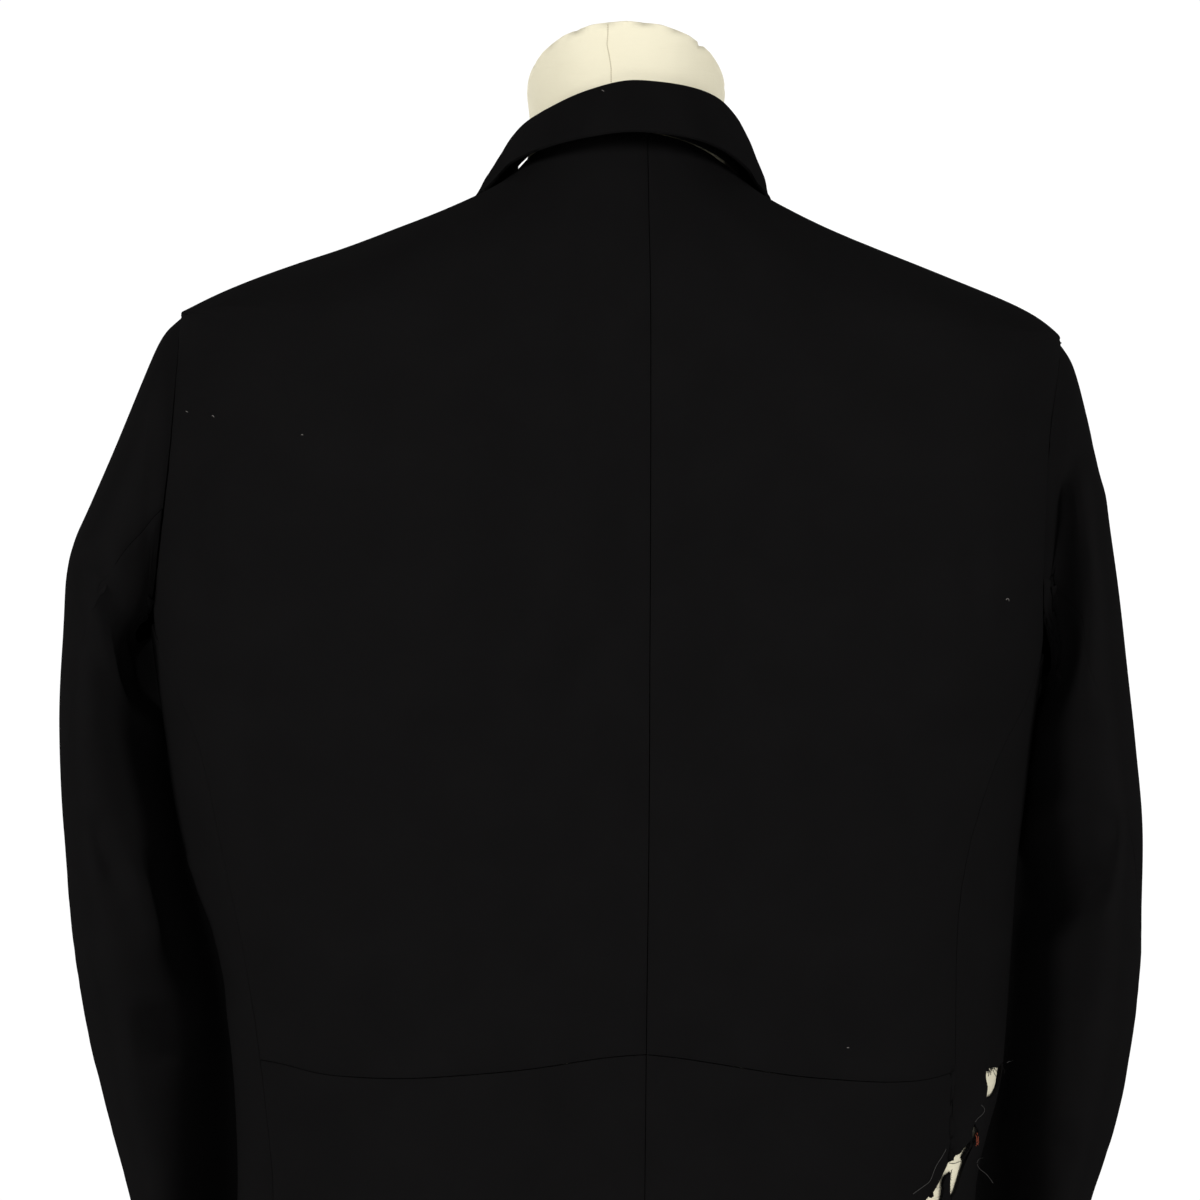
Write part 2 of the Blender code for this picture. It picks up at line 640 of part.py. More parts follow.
def side_rows(side, columns):
    """From the hem to the foot of the armhole, between the two side seams."""
    seam_top = SIDE_PANEL_TOP[side]
    oval = ARMHOLE[side]
    reach_top = armhole_reach(side, seam_top)
    levels = [*SKIRT_LEVELS, *(outer for outer, _ in body_levels(side)[:LOW_ROWS])]
    rows = []
    for level in levels:
        dip = smooth_step(level, 0.45, seam_top)
        first, last = side_back_angle(side, level), side_front_angle(side, level)
        first, last = inset(first, level, last, SIDE_SEAM), inset(last, level, first, SIDE_SEAM)

        def z_at(angle, level=level, dip=dip, first=first, last=last):
            across = 2.0 * (angle - first) / (last - first) - 1.0
            off = abs(across) * reach_top / oval["half_y"]
            depth = (1.0 - off ** oval["square"]) ** (1.0 / oval["square"])
            foot = oval["z"] - oval["half_z"] * depth
            return level + (foot - SEAM - seam_top) * dip

        rows.append(even_row(first, last, z_at, columns))
    return rows


def tear_cutter(name, outline):
    """A prism along Y with the outline of a tear, used to cut it through the cloth."""
    bm = bmesh.new()
    face = bm.faces.new([bm.verts.new((x, 0.0, z)) for x, z in outline])
    grown = bmesh.ops.extrude_face_region(bm, geom=[face])
    moved = [g for g in grown["geom"] if isinstance(g, bmesh.types.BMVert)]
    bmesh.ops.translate(bm, verts=moved, vec=(0.0, 0.2, 0.0))
    bmesh.ops.recalc_face_normals(bm, faces=bm.faces)
    cutter = add_object(name, bm, "wool")
    cutter.hide_render = True
    cutter.display_type = "WIRE"
    return cutter


def cut_tears(obj):
    for n, outline in enumerate(TEARS.get(obj.name, [])):
        cut = obj.modifiers.new(f"tear_{n}", "BOOLEAN")
        cut.operation = "DIFFERENCE"
        cut.object = tear_cutter(f"cutter_{obj.name}_{n}", outline)


def make_back_and_sides():
    for side, word in SIDES.items():
        body_patch(f"back_{word}", back_rows(side, 12))
        cut_tears(body_patch(f"skirt_{word}", skirt_rows(side, 12)))
        cut_tears(body_patch(f"side_{word}", side_rows(side, 6)))


# ---------------------------------------------------------------- fronts
def roll_x(z):
    """x of the line along which the left front turns back, and below it of its front edge."""
    share = (z - BREAK_Z) / (0.800 - BREAK_Z)
    toe = max(0.0, (TOE_Z - z) / (TOE_Z - HEM_Z))
    edge = -FRONT_LAP + TOE_CUT * toe**2.2
    return edge + 0.0755 * max(0.0, share) ** 1.04


def front_edge_angle(side, z):
    """The inner edge of a front: its neck, its roll line or its front edge."""
    on_roll = half_turn_to(angle_of_x(side * roll_x(z), z, False), side)
    near_neck = shoulder_angle(side) - side * math.radians(5.0)
    share = smooth_step(z, 0.782, NECK_SIDE_Z)
    return on_roll + (near_neck - on_roll) * share


LAP_SINK = 0.0072


def lap_sink(side, point, z):
    """The right front passes under the left one, with room for its own lapel."""
    if side == LEFT:
        return 0.0
    return -LAP_SINK * smooth_step(point.x, -0.085, -0.036) * smooth_step(z, 0.660, 0.545)


def front_rows(side, columns):
    levels = [*((z, z) for z in SKIRT_LEVELS), *body_levels(side)]
    rows = []
    for outer, inner in levels:
        from_, to = outer_angle(side, outer, False), front_edge_angle(side, inner)

        def z_at(angle, ends=(outer, inner), way=(from_, to)):
            across = smooth_step(angle, way[0], way[1])
            near = max(0.0, (angle - way[0]) / (way[1] - way[0]) - 0.55) / 0.45
            lift = TOE_ROUND * min(near, 1.0) ** 3 * smooth_step(ends[0], 0.16, HEM_Z)
            return ends[0] + (ends[1] - ends[0]) * across + lift

        last = seam_end(lambda z: front_edge_angle(side, z), z_at, inner)
        first, last = inset(from_, outer, last), inset(last, inner, from_)
        rows.append(even_row(first, last, z_at, columns))
    top_first = inset(shoulder_angle(side), NECK_SIDE_Z, front_edge_angle(side, NECK_SIDE_Z))
    top_last = front_edge_angle(side, NECK_SIDE_Z)
    rows.append(even_row(top_first, top_last, lambda angle: NECK_SIDE_Z - SEAM, columns))
    return rows


def make_fronts():
    for side, word in SIDES.items():
        rows = front_rows(side, 11)
        body_patch(f"front_{word}", rows, lambda p, z, side=side: lap_sink(side, p, z))


# ---------------------------------------------------------------- lapels and collar
GORGE_Z = 0.745
NOTCH = (0.0940, 0.7142)
LAPEL_TIP = (0.1250, 0.6930)
COLLAR_TIP = (0.1130, 0.7400)
LAPEL_EDGE = [
    # share of the way up, x, z
    (0.00, -0.0125, 0.4270),
    (0.12, 0.0120, 0.4400),
    (0.30, 0.0500, 0.4800),
    (0.50, 0.0850, 0.5430),
    (0.72, 0.1090, 0.6130),
    (1.00, *LAPEL_TIP),
]
# Height of a turned layer's middle above the front, by its distance across.
LAPEL_HEIGHTS = [(0.0, 0.0052), (0.25, 0.0050), (0.55, 0.0034), (0.8, 0.0027), (1.0, 0.0024)]
LAPEL_ACROSS = (0.16, 0.38, 0.60, 0.80, 1.0)
LAPEL_ROWS = 13
FLAT_SHARE = 0.58  # the turn is pressed flatter near the top button, where one front covers it


def turn_rise(z):
    return FLAT_SHARE + (1.0 - FLAT_SHARE) * smooth_step(z, 0.535, 0.610)


def front_point(side, x, z, height):
    """A point over a front, from x and z as seen from the front and a height off its cloth."""
    angle = half_turn_to(angle_of_x(side * x, z, False), side)
    point, normal = body_point(angle, z), body_normal(angle, z)
    return point + normal * (height + lap_sink(side, point, z))


def turned_edge(side, z):
    """The turn itself: from beside the front's edge, round it, and out over the front."""
    angle = front_edge_angle(side, z)
    base, normal = body_point(angle, z), body_normal(angle, z)
    base = base + normal * lap_sink(side, base, z)
    above = body_point(front_edge_angle(side, z + 0.004), z + 0.004)
    below = body_point(front_edge_angle(side, z - 0.004), z - 0.004)
    along = (above - below).normalized()
    out = along.cross(normal).normalized() * side
    rise = turn_rise(z)
    turn = ((-0.0015, -0.0008), (-0.0021, 0.0012), (-0.0008, 0.0040), (0.0020, 0.0053))
    return [base + out * across + normal * up * rise for across, up in turn]


def lapel_grid(side):
    rows = []
    for share in span(0.0, 1.0, LAPEL_ROWS):
        z = 0.4270 + (GORGE_Z - 0.0008 - 0.4270) * share
        inner = turned_edge(side, z)
        roll = (roll_x(z), z)
        edge = (read_table(LAPEL_EDGE, share, 1), read_table(LAPEL_EDGE, share, 2))
        row = list(inner)
        for across in LAPEL_ACROSS:
            x = roll[0] + (edge[0] - roll[0]) * across
            height = max(0.0024, read_table(LAPEL_HEIGHTS, across) * turn_rise(z))
            row.append(front_point(side, x, roll[1] + (edge[1] - roll[1]) * across, height))
        rows.append(row)
    return rows


def thick_sheet(name, grid):
    """A wall round a grid of points along its middle, thickened both ways."""
    rows, columns = len(grid), len(grid[0])
    outer, inner = [], []
    for r in range(rows):
        out_row, in_row = [], []
        for c in range(columns):
            up = grid[min(r + 1, rows - 1)][c] - grid[max(r - 1, 0)][c]
            over = grid[r][min(c + 1, columns - 1)] - grid[r][max(c - 1, 0)]
            normal = over.cross(up).normalized()
            out_row.append(grid[r][c] + normal * (WALL / 2))
            in_row.append(grid[r][c] - normal * (WALL / 2))
        outer.append(out_row)
        inner.append(in_row)
    return add_wall(name, outer, inner)


def make_lapels():
    for side, word in SIDES.items():
        thick_sheet(f"lapel_{word}", lapel_grid(side))


# The collar round the back of the neck: degrees round from the middle, the turned edge's place
# and the outer edge's place. It is pulled a little to the wearer's right.
COLLAR_BACK = {
    LEFT: [
        # turn, roll_x, roll_y, roll_z, edge_x, edge_y, edge_z
        (0.0, -0.0072, 0.0655, 0.8552, -0.0072, 0.0955, 0.8252),
        (25.0, 0.0180, 0.0600, 0.8488, 0.0250, 0.0870, 0.8205),
        (50.0, 0.0380, 0.0440, 0.8405, 0.0500, 0.0600, 0.8140),
        (72.0, 0.0485, 0.0210, 0.8350, 0.0645, 0.0290, 0.8066),
        (92.0, 0.0520, -0.0040, 0.8290, 0.0718, -0.0030, 0.8022),
        (108.0, 0.0548, -0.0230, 0.8150, 0.0800, -0.0200, 0.7965),
        (124.0, 0.0548, -0.0420, 0.7995, 0.0890, -0.0370, 0.7875),
    ],
    RIGHT: [
        (0.0, -0.0072, 0.0655, 0.8552, -0.0072, 0.0955, 0.8252),
        (25.0, -0.0325, 0.0600, 0.8535, -0.0395, 0.0870, 0.8225),
        (50.0, -0.0520, 0.0440, 0.8500, -0.0640, 0.0600, 0.8145),
        (72.0, -0.0626, 0.0210, 0.8440, -0.0770, 0.0290, 0.8050),
        (92.0, -0.0656, -0.0040, 0.8365, -0.0842, -0.0030, 0.7995),
        (108.0, -0.0638, -0.0230, 0.8200, -0.0872, -0.0200, 0.7950),
        (124.0, -0.0592, -0.0420, 0.8020, -0.0912, -0.0370, 0.7875),
    ],
}
# Its front part, over the fronts: height of the turned edge, and the outer edge from the front.
COLLAR_FRONT = [
    # share, roll_z, edge_x, edge_z
    (0.0, 0.7830, 0.0960, 0.7765),
    (0.4, 0.7725, 0.1028, 0.7660),
    (0.7, 0.7600, 0.1090, 0.7560),
    (1.0, GORGE_Z, *COLLAR_TIP),
]
FRONT_NECK_Z = [(92.0, 0.8040), (108.0, 0.7985), (124.0, 0.7900)]  # where the stand meets a front
STAND_TURN = 0.0022
FALL_ACROSS = (0.40, 0.75, 1.0)
FALL_BULGE = 0.0022
FALL_CLEAR = 0.0034


def shoulder_z(x, y):
    """Height of the body's surface at a place on the shoulders, or 0 where it has none."""
    angle, radius = math.atan2(y, x), math.hypot(x, y)
    low, high = 0.745, 0.828
    if not body_radius(angle, high) < radius < body_radius(angle, low):
        return 0.0
    for _ in range(24):
        middle = (low + high) / 2
        low, high = (middle, high) if body_radius(angle, middle) > radius else (low, middle)
    return low


def collar_back_row(side, turn):
    """Stand, turned edge and fall at one place round the back of the neck."""
    roll_x, roll_y, roll_z, edge_x, edge_y, edge_z = (
        read_table(COLLAR_BACK[side], turn, column) for column in range(1, 7)
    )
    roll, edge = Vector((roll_x, roll_y, roll_z)), Vector((edge_x, edge_y, edge_z))
    away = Vector((side * math.sin(math.radians(turn)), math.cos(math.radians(turn)), 0.0))
    up = Vector((0.0, 0.0, 1.0))
    seam_angle = math.radians(90.0 - side * turn)
    seam_z = neck_z(seam_angle)
    seam = body_point(seam_angle, seam_z) - body_normal(seam_angle, seam_z) * (WALL / 2)
    foot = seam + up * (0.0016 + 0.0010 * smooth_step(turn, 60.0, 84.0)) - away * 0.0004
    if turn > 92.0:
        hook = turned_edge(side, read_table(FRONT_NECK_Z, turn))
        foot = hook[1] + (hook[1] - hook[3]) * 0.3 + up * 0.0018 * smooth_step(turn, 118.0, 98.0)
    neck_side = roll - away * STAND_TURN - up * STAND_TURN
    out_side = roll + away * STAND_TURN - up * (STAND_TURN * 0.8)
    row = [foot, foot.lerp(neck_side, 0.5), neck_side, roll, out_side]
    for share in FALL_ACROSS:
        point = out_side.lerp(edge, share) + away * FALL_BULGE * math.sin(math.pi * share)
        point.z = max(point.z, shoulder_z(point.x, point.y) + FALL_CLEAR)
        row.append(point)
    return row


def collar_front_row(side, share):
    """The collar over the front, where its stand has run out."""
    z = read_table(COLLAR_FRONT, share, 1)
    edge = (read_table(COLLAR_FRONT, share, 2), read_table(COLLAR_FRONT, share, 3))
    hook = turned_edge(side, z)
    hook = [point + (hook[1] - hook[3]) * 0.12 for point in hook]
    rise = hook[1].lerp(hook[0], 0.5)
    roll = (roll_x(z), z)
    row = [hook[0], rise, hook[1], hook[2], hook[3]]
    for across in FALL_ACROSS:
        straight = (
            roll[0] + (edge[0] - roll[0]) * across,
            roll[1] + (edge[1] - roll[1]) * across,
        )
        kink = FALL_ACROSS[1]
        if across <= kink:
            t = across / kink
            notched = (roll[0] + (NOTCH[0] - roll[0]) * t, roll[1] + (NOTCH[1] - roll[1]) * t)
        else:
            notched = COLLAR_TIP
        bent = smooth_step(share, 0.55, 1.0)
        x = straight[0] + (notched[0] - straight[0]) * bent
        z_here = straight[1] + (notched[1] - straight[1]) * bent
        height = read_table(LAPEL_HEIGHTS, across) + 0.0008
        row.append(front_point(side, x, z_here, height))
    return row


def make_collar():
    halves = {}
    for side in SIDES:
        back = [collar_back_row(side, turn) for turn in (0, 12, 24, 36, 48, 60, 72, 82, 92, 100, 108, 116, 124)]
        front = [collar_front_row(side, share) for share in (0.0, 0.25, 0.5, 0.75, 0.9, 1.0)]
        halves[side] = back + front
    grid = [*reversed(halves[LEFT]), *halves[RIGHT][1:]]
    thick_sheet("collar", grid)


# ---------------------------------------------------------------- sleeves
def sleeve_value(side, section, column):
    rows = [(n, *row) for n, row in enumerate(SLEEVE[side])]
    return read_table(rows, section, column + 1)


def squared(turn, square):
    """Cosine and sine of a turn round a superellipse."""
    power = 2.0 / square
    across = math.copysign(abs(math.cos(turn)) ** power, math.cos(turn))
    return across, math.copysign(abs(math.sin(turn)) ** power, math.sin(turn))


def armhole_point(side, turn):
    """A point of the armhole's edge, moved into the hole by the seam's gap."""

    def edge(t):
        oval = ARMHOLE[side]
        across, up = squared(t, oval["square"])
        y = oval["y"] + oval["half_y"] * up
        z = oval["z"] + oval["half_z"] * across
        angle = angle_of_y(y, z, side)
        return body_point(angle, z), body_normal(angle, z)

    point, normal = edge(turn)
    along = edge(turn + 0.02)[0] - edge(turn - 0.02)[0]
    inward = normal.cross(along).normalized()
    middle = Vector((point.x, ARMHOLE[side]["y"], ARMHOLE[side]["z"]))
    if inward.dot(middle - point) < 0:
        inward = -inward
    return point + inward * ARMHOLE_GAP


def flat_section(side, section, turn):
    """A sleeve section's point, from the table alone."""
    out_x, out_z, in_x, in_z, back_y, front_y, lean = (
        sleeve_value(side, section, column) for column in range(7)
    )
    middle_y = (back_y + front_y) / 2
    outermost = Vector((side * out_x, middle_y + lean, out_z))
    innermost = Vector((side * in_x, middle_y - lean, in_z))
    across, deep = squared(turn, SLEEVE_SQUARE)
    half_deep = Vector((0.0, (back_y - front_y) / 2, 0.0))
    return (outermost + innermost) / 2 + (outermost - innermost) / 2 * across + half_deep * deep


def sleeve_fold(side, section, turn):
    total = 0.0
    for at, degrees, depth, reach, wide in SLEEVE_FOLDS[side]:
        off = (math.degrees(turn) - degrees + 180.0) % 360.0 - 180.0
        total += depth * math.exp(-(((section - at) / reach) ** 2) - (off / wide) ** 2)
    return total * smooth_step(section, 0.5, 2.0)


def sleeve_base(side, section, turn):
    point = flat_section(side, section, turn)
    if section < 1.6:
        keep = (1.0 - section / 1.6) ** 2
        point += (armhole_point(side, turn) - flat_section(side, 0.0, turn)) * keep
    return point


def sleeve_normal(surface, side, section, turn):
    normal = normal_of(surface, section, turn, 0.02, 0.03)
    return normal if side == LEFT else -normal


def sleeve_point(side, section, turn):
    def base(s, t):
        return sleeve_base(side, max(0.0, min(s, 16.0)), t)

    fold = sleeve_fold(side, section, turn)
    point = base(section, turn)
    if abs(fold) < 1e-6:
        return point
    return point + sleeve_normal(base, side, section, turn) * fold


def speed(surface, section, turn):
    """Metres of cloth for each radian round a sleeve, at one place."""
    return (surface(section, turn + 0.02) - surface(section, turn - 0.02)).length / 0.04


def sleeve_patch(name, side, seams, columns):
    """A wall between two seams, given as functions of the section."""

    def surface(s, t):
        return sleeve_point(side, max(0.0, min(s, 16.0)), t)

    outer, inner = [], []
    for section in SLEEVE_ROWS:
        first, last = (math.radians(seam(section)) for seam in seams)
        first += 2.6 * SEAM / speed(surface, section, first)
        last -= 2.6 * SEAM / speed(surface, section, last)
        out_row, in_row = [], []
        for turn in span(first, last, columns):
            point = surface(section, turn)
            normal = sleeve_normal(surface, side, section, turn)
            out_row.append(point)
            in_row.append(point - normal * WALL)
        outer.append(out_row)
        inner.append(in_row)
    return add_wall(name, outer, inner)


def make_sleeves():
    for side, word in SIDES.items():
        table = list(enumerate(ELBOW_SEAM[side]))

        def elbow(section, table=table):
            share = read_table(table, section)
            cosine = math.copysign(abs(share) ** (SLEEVE_SQUARE / 2), share)
            return math.degrees(math.acos(cosine))

        sleeve_patch(f"sleeve_under_{word}", side, (elbow, lambda s: FOREARM_SEAM), 9)
        sleeve_patch(
            f"sleeve_top_{word}", side, (lambda s: FOREARM_SEAM, lambda s, e=elbow: e(s) + 360.0), 12
        )


# ---------------------------------------------------------------- buttons
def make_button(name, z):
    """A turned four-hole button with a raised rim, lying on the left front."""
    angle = angle_of_x(0.0, z, False)
    seat, normal = body_point(angle, z), body_normal(angle, z)
    profile = [
        (0.0, 0.0),
        (0.80, 0.0),
        (1.0, 0.35),
        (1.0, 0.75),
        (0.90, 1.0),
        (0.78, 0.95),
        (0.70, 0.62),
        (0.0, 0.55),
    ]
    bm = bmesh.new()
    line = [bm.verts.new((r * BUTTON_RADIUS, 0.0, h * BUTTON_THICK)) for r, h in profile]
    edges = [bm.edges.new(pair) for pair in zip(line, line[1:])]
    bmesh.ops.spin(
        bm, geom=line + edges, axis=(0, 0, 1), cent=(0, 0, 0), angle=2 * math.pi, steps=24,
        use_merge=True,
    )
    bmesh.ops.remove_doubles(bm, verts=bm.verts, dist=1e-6)
    bmesh.ops.recalc_face_normals(bm, faces=bm.faces)
    button = add_object(name, bm, "horn")
    button.location = seat + normal * (TOUCH + 0.0003)
    button.rotation_euler = normal.to_track_quat("Z", "Y").to_euler()
    holes = bmesh.new()
    for n in range(4):
        turn = math.radians(45 + 90 * n)
        ring = bmesh.ops.create_cone(
            holes, cap_ends=True, segments=8, radius1=0.0010, radius2=0.0010, depth=0.012
        )
        off = Vector((math.cos(turn), math.sin(turn), 0.0)) * 0.0024
        bmesh.ops.translate(holes, verts=ring["verts"], vec=off)
    cutter = add_object(f"cutter_{name}", holes, "horn")
    cutter.location, cutter.rotation_euler = button.location, button.rotation_euler
    cutter.hide_render = True
    cutter.display_type = "WIRE"
    cut = button.modifiers.new("thread_holes", "BOOLEAN")
    cut.operation = "DIFFERENCE"
    cut.object = cutter


# ---------------------------------------------------------------- dress form and stand
def form_point(turn, z):
    """The form's own section, drawn in wherever the cloth would come too near."""
    left, right, back, front = (read_table(FORM, z, column) for column in range(1, 5))
    neck = smooth_step(z, 0.785, 0.817)
    cosine, sine = squared(turn, FORM_SQUARE + (NECK_SQUARE - FORM_SQUARE) * neck)
    x = NECK_X * neck + (left if cosine >= 0 else right) * cosine
    y = (back if sine >= 0 else front) * sine
    if z > NECK_BACK_Z + 0.003:
        return Vector((x, y, z))
    angle, own = math.atan2(y, x), math.hypot(x, y)
    normal = body_normal(angle, z)
    level = max(0.25, math.hypot(normal.x, normal.y))
    clear = WALL + FORM_CLEAR + NECK_CLEAR * smooth_step(z, 0.762, 0.782)
    clear += HIP_CLEAR * smooth_step(z, 0.440, 0.380)
    share = min(1.0, (body_radius(angle, z) - clear / level) / own)
    return Vector((x * share, y * share, z))


def make_form():
    """Torso and neck in one smooth block, flat below, with the neck's top sloping to the front."""
    levels = [
        *span(FORM[0][0], 0.72, 18),
        0.738, 0.752, 0.764, 0.775, 0.785, 0.794, 0.803, 0.813, 0.824, 0.836, FORM_TOP_Z,
    ]
    bm = bmesh.new()
    rings = []
    for level in levels:
        leaning = max(0.0, (level - FORM_LEAN_Z) / (FORM_TOP_Z - FORM_LEAN_Z))
        ring = []
        for n in range(FORM_SIDES):
            turn = 2 * math.pi * n / FORM_SIDES
            flat = form_point(turn, level)
            ring.append(bm.verts.new(form_point(turn, level + FORM_TOP_SLOPE * flat.y * leaning)))
        rings.append(ring)
    for low, high in zip(rings, rings[1:]):
        for n in range(FORM_SIDES):
            m = (n + 1) % FORM_SIDES
            bm.faces.new((low[n], low[m], high[m], high[n]))
    bm.faces.new(list(reversed(rings[0])))
    bm.faces.new(rings[-1])
    bmesh.ops.recalc_face_normals(bm, faces=bm.faces)
    add_object("form", bm, "linen")


def turned(name, profile, steps, finish):
    """A round piece from its profile of (radius, z), spun about the Z axis."""
    bm = bmesh.new()
    line = [bm.verts.new((r, 0.0, z)) for r, z in profile]
    edges = [bm.edges.new(pair) for pair in zip(line, line[1:])]
    bmesh.ops.spin(
        bm, geom=line + edges, axis=(0, 0, 1), cent=(0, 0, 0), angle=2 * math.pi, steps=steps,
        use_merge=True,
    )
    bmesh.ops.remove_doubles(bm, verts=bm.verts, dist=1e-6)
    bmesh.ops.recalc_face_normals(bm, faces=bm.faces)
    return add_object(name, bm, finish)


def make_stand():
    bevel = 0.003
    turned(
        "stand_base",
        [
            (0.0, 0.0),
            (STAND_RADIUS, 0.0),
            (STAND_RADIUS, STAND_THICK - bevel),
            (STAND_RADIUS - bevel, STAND_THICK),
            (0.0, STAND_THICK),
        ],
        48,
        "steel",
    )
    foot, top = STAND_THICK + TOUCH, FORM[0][0] - TOUCH
    turned(
        "stand_column",
        [
            (0.0, foot),
            (COLUMN_RADIUS * 1.8, foot),
            (COLUMN_RADIUS * 1.8, foot + 0.006),
            (COLUMN_RADIUS, foot + 0.012),
            (COLUMN_RADIUS, top - 0.008),
            (COLUMN_RADIUS * 1.6, top - 0.004),
            (COLUMN_RADIUS * 1.6, top),
            (0.0, top),
        ],
        24,
        "steel",
    )


for old in list(bpy.data.objects):
    bpy.data.objects.remove(old)
make_stand()
make_form()
make_back_and_sides()
make_fronts()
make_lapels()
make_collar()
make_sleeves()
for number, button_z in enumerate(BUTTON_ZS, 1):
    make_button(f"button_{number}", button_z)
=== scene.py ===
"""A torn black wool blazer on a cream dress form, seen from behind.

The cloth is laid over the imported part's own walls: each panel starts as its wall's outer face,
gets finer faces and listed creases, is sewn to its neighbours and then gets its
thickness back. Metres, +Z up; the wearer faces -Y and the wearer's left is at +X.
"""

import math
import random

import bmesh
import bpy
import numpy as np
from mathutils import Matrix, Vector, bvhtree, kdtree, noise


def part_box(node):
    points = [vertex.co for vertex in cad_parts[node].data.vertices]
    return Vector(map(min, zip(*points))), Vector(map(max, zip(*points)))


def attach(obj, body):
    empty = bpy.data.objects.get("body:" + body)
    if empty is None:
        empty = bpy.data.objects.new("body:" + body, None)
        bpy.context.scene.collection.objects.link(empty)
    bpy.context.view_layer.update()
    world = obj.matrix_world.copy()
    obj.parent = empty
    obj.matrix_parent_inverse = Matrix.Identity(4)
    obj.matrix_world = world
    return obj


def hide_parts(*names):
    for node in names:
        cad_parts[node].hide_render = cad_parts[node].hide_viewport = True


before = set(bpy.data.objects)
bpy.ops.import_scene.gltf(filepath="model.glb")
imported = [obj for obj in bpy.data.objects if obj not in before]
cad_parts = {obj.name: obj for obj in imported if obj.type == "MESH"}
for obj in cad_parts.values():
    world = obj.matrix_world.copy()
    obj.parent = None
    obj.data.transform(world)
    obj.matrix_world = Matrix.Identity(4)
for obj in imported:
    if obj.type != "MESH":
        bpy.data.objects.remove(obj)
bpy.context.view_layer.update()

# ---------------------------------------------------------------- wool
# Plain black worsted wool: a fine twill, pressed matt, with a faint crinkle along its weft.
# It hardly shines. Its colour varies a little with the yarn.
WOOL_BLACK = (0.0045, 0.0043, 0.0044)
WOOL_PALE = (0.0061, 0.0058, 0.0059)
TWILL_PITCH = 0.0006
WEFT_PITCH = 0.0016


def weave_group():
    """Height of a weave and the unevenness of its yarn, from coordinates in metres."""
    group = bpy.data.node_groups.new("weave", "ShaderNodeTree")
    sockets = {
        "Cloth": ("INPUT", "NodeSocketVector"),
        "Ribs per metre": ("INPUT", "NodeSocketFloat"),
        "Crinkles per metre": ("INPUT", "NodeSocketFloat"),
        "Crinkle share": ("INPUT", "NodeSocketFloat"),
        "Height": ("OUTPUT", "NodeSocketFloat"),
        "Yarn": ("OUTPUT", "NodeSocketFloat"),
    }
    for name, (way, kind) in sockets.items():
        group.interface.new_socket(name, in_out=way, socket_type=kind)
    given = group.nodes.new("NodeGroupInput").outputs
    result = group.nodes.new("NodeGroupOutput").inputs
    links = group.links
    ribs = group.nodes.new("ShaderNodeTexWave")
    ribs.bands_direction = "DIAGONAL"
    ribs.inputs["Distortion"].default_value = 0.8
    ribs.inputs["Detail"].default_value = 1.5
    along_weft = group.nodes.new("ShaderNodeVectorMath")
    along_weft.operation = "MULTIPLY"
    along_weft.inputs[1].default_value = (0.12, 1.0, 1.0)
    crinkle = group.nodes.new("ShaderNodeTexNoise")
    crinkle.inputs["Detail"].default_value = 3.0
    crinkle.inputs["Roughness"].default_value = 0.6
    yarn = group.nodes.new("ShaderNodeTexNoise")
    yarn.inputs["Detail"].default_value = 4.0
    yarn.inputs["Scale"].default_value = 24.0
    height = group.nodes.new("ShaderNodeMix")
    links.new(given["Cloth"], ribs.inputs["Vector"])
    links.new(given["Ribs per metre"], ribs.inputs["Scale"])
    links.new(given["Cloth"], along_weft.inputs[0])
    links.new(along_weft.outputs[0], crinkle.inputs["Vector"])
    links.new(given["Crinkles per metre"], crinkle.inputs["Scale"])
    links.new(given["Cloth"], yarn.inputs["Vector"])
    links.new(given["Crinkle share"], height.inputs["Factor"])
    links.new(ribs.outputs["Fac"], height.inputs["A"])
    links.new(crinkle.outputs["Fac"], height.inputs["B"])
    links.new(height.outputs["Result"], result["Height"])
    links.new(yarn.outputs["Fac"], result["Yarn"])
    return group


def woven_material(name, dark, pale, pitch, weft_pitch, crinkle_share, relief):
    """A material with a weave on the piece's own "cloth" map, and its shader."""
    made = bpy.data.materials.new(name)
    made.use_nodes = True
    tree = made.node_tree
    shader = tree.nodes["Principled BSDF"]
    cloth = tree.nodes.new("ShaderNodeUVMap")
    cloth.uv_map = "cloth"
    weave = tree.nodes.new("ShaderNodeGroup")
    weave.node_tree = WEAVE
    weave.inputs["Ribs per metre"].default_value = math.tau / pitch / 10.0
    weave.inputs["Crinkles per metre"].default_value = 1.0 / weft_pitch
    weave.inputs["Crinkle share"].default_value = crinkle_share
    colour = tree.nodes.new("ShaderNodeMix")
    colour.data_type = "RGBA"
    colour.inputs["A"].default_value = (*dark, 1.0)
    colour.inputs["B"].default_value = (*pale, 1.0)
    bump = tree.nodes.new("ShaderNodeBump")
    bump.inputs["Strength"].default_value = relief
    bump.inputs["Distance"].default_value = pitch / 2
    links = tree.links
    links.new(cloth.outputs["UV"], weave.inputs["Cloth"])
    links.new(weave.outputs["Yarn"], colour.inputs["Factor"])
    links.new(colour.outputs["Result"], shader.inputs["Base Color"])
    links.new(weave.outputs["Height"], bump.inputs["Height"])
    links.new(bump.outputs["Normal"], shader.inputs["Normal"])
    return made, shader


WEAVE = weave_group()
WOOL, wool_shader = woven_material(
    "black wool", WOOL_BLACK, WOOL_PALE, TWILL_PITCH, WEFT_PITCH, 0.7, 0.5
)
wool_shader.inputs["Roughness"].default_value = 0.85
wool_shader.inputs["Specular IOR Level"].default_value = 0.0
wool_shader.inputs["Sheen Weight"].default_value = 0.004
wool_shader.inputs["Sheen Roughness"].default_value = 0.60

# ---------------------------------------------------------------- cutting out
# Each panel is a sheet over its wall's outer face. The faces are halved again and again along
# smooth curves until the cloth can take creases a few millimetres wide.
SHARP = math.radians(60)
RELAX_ROUNDS = 12
panels = {}


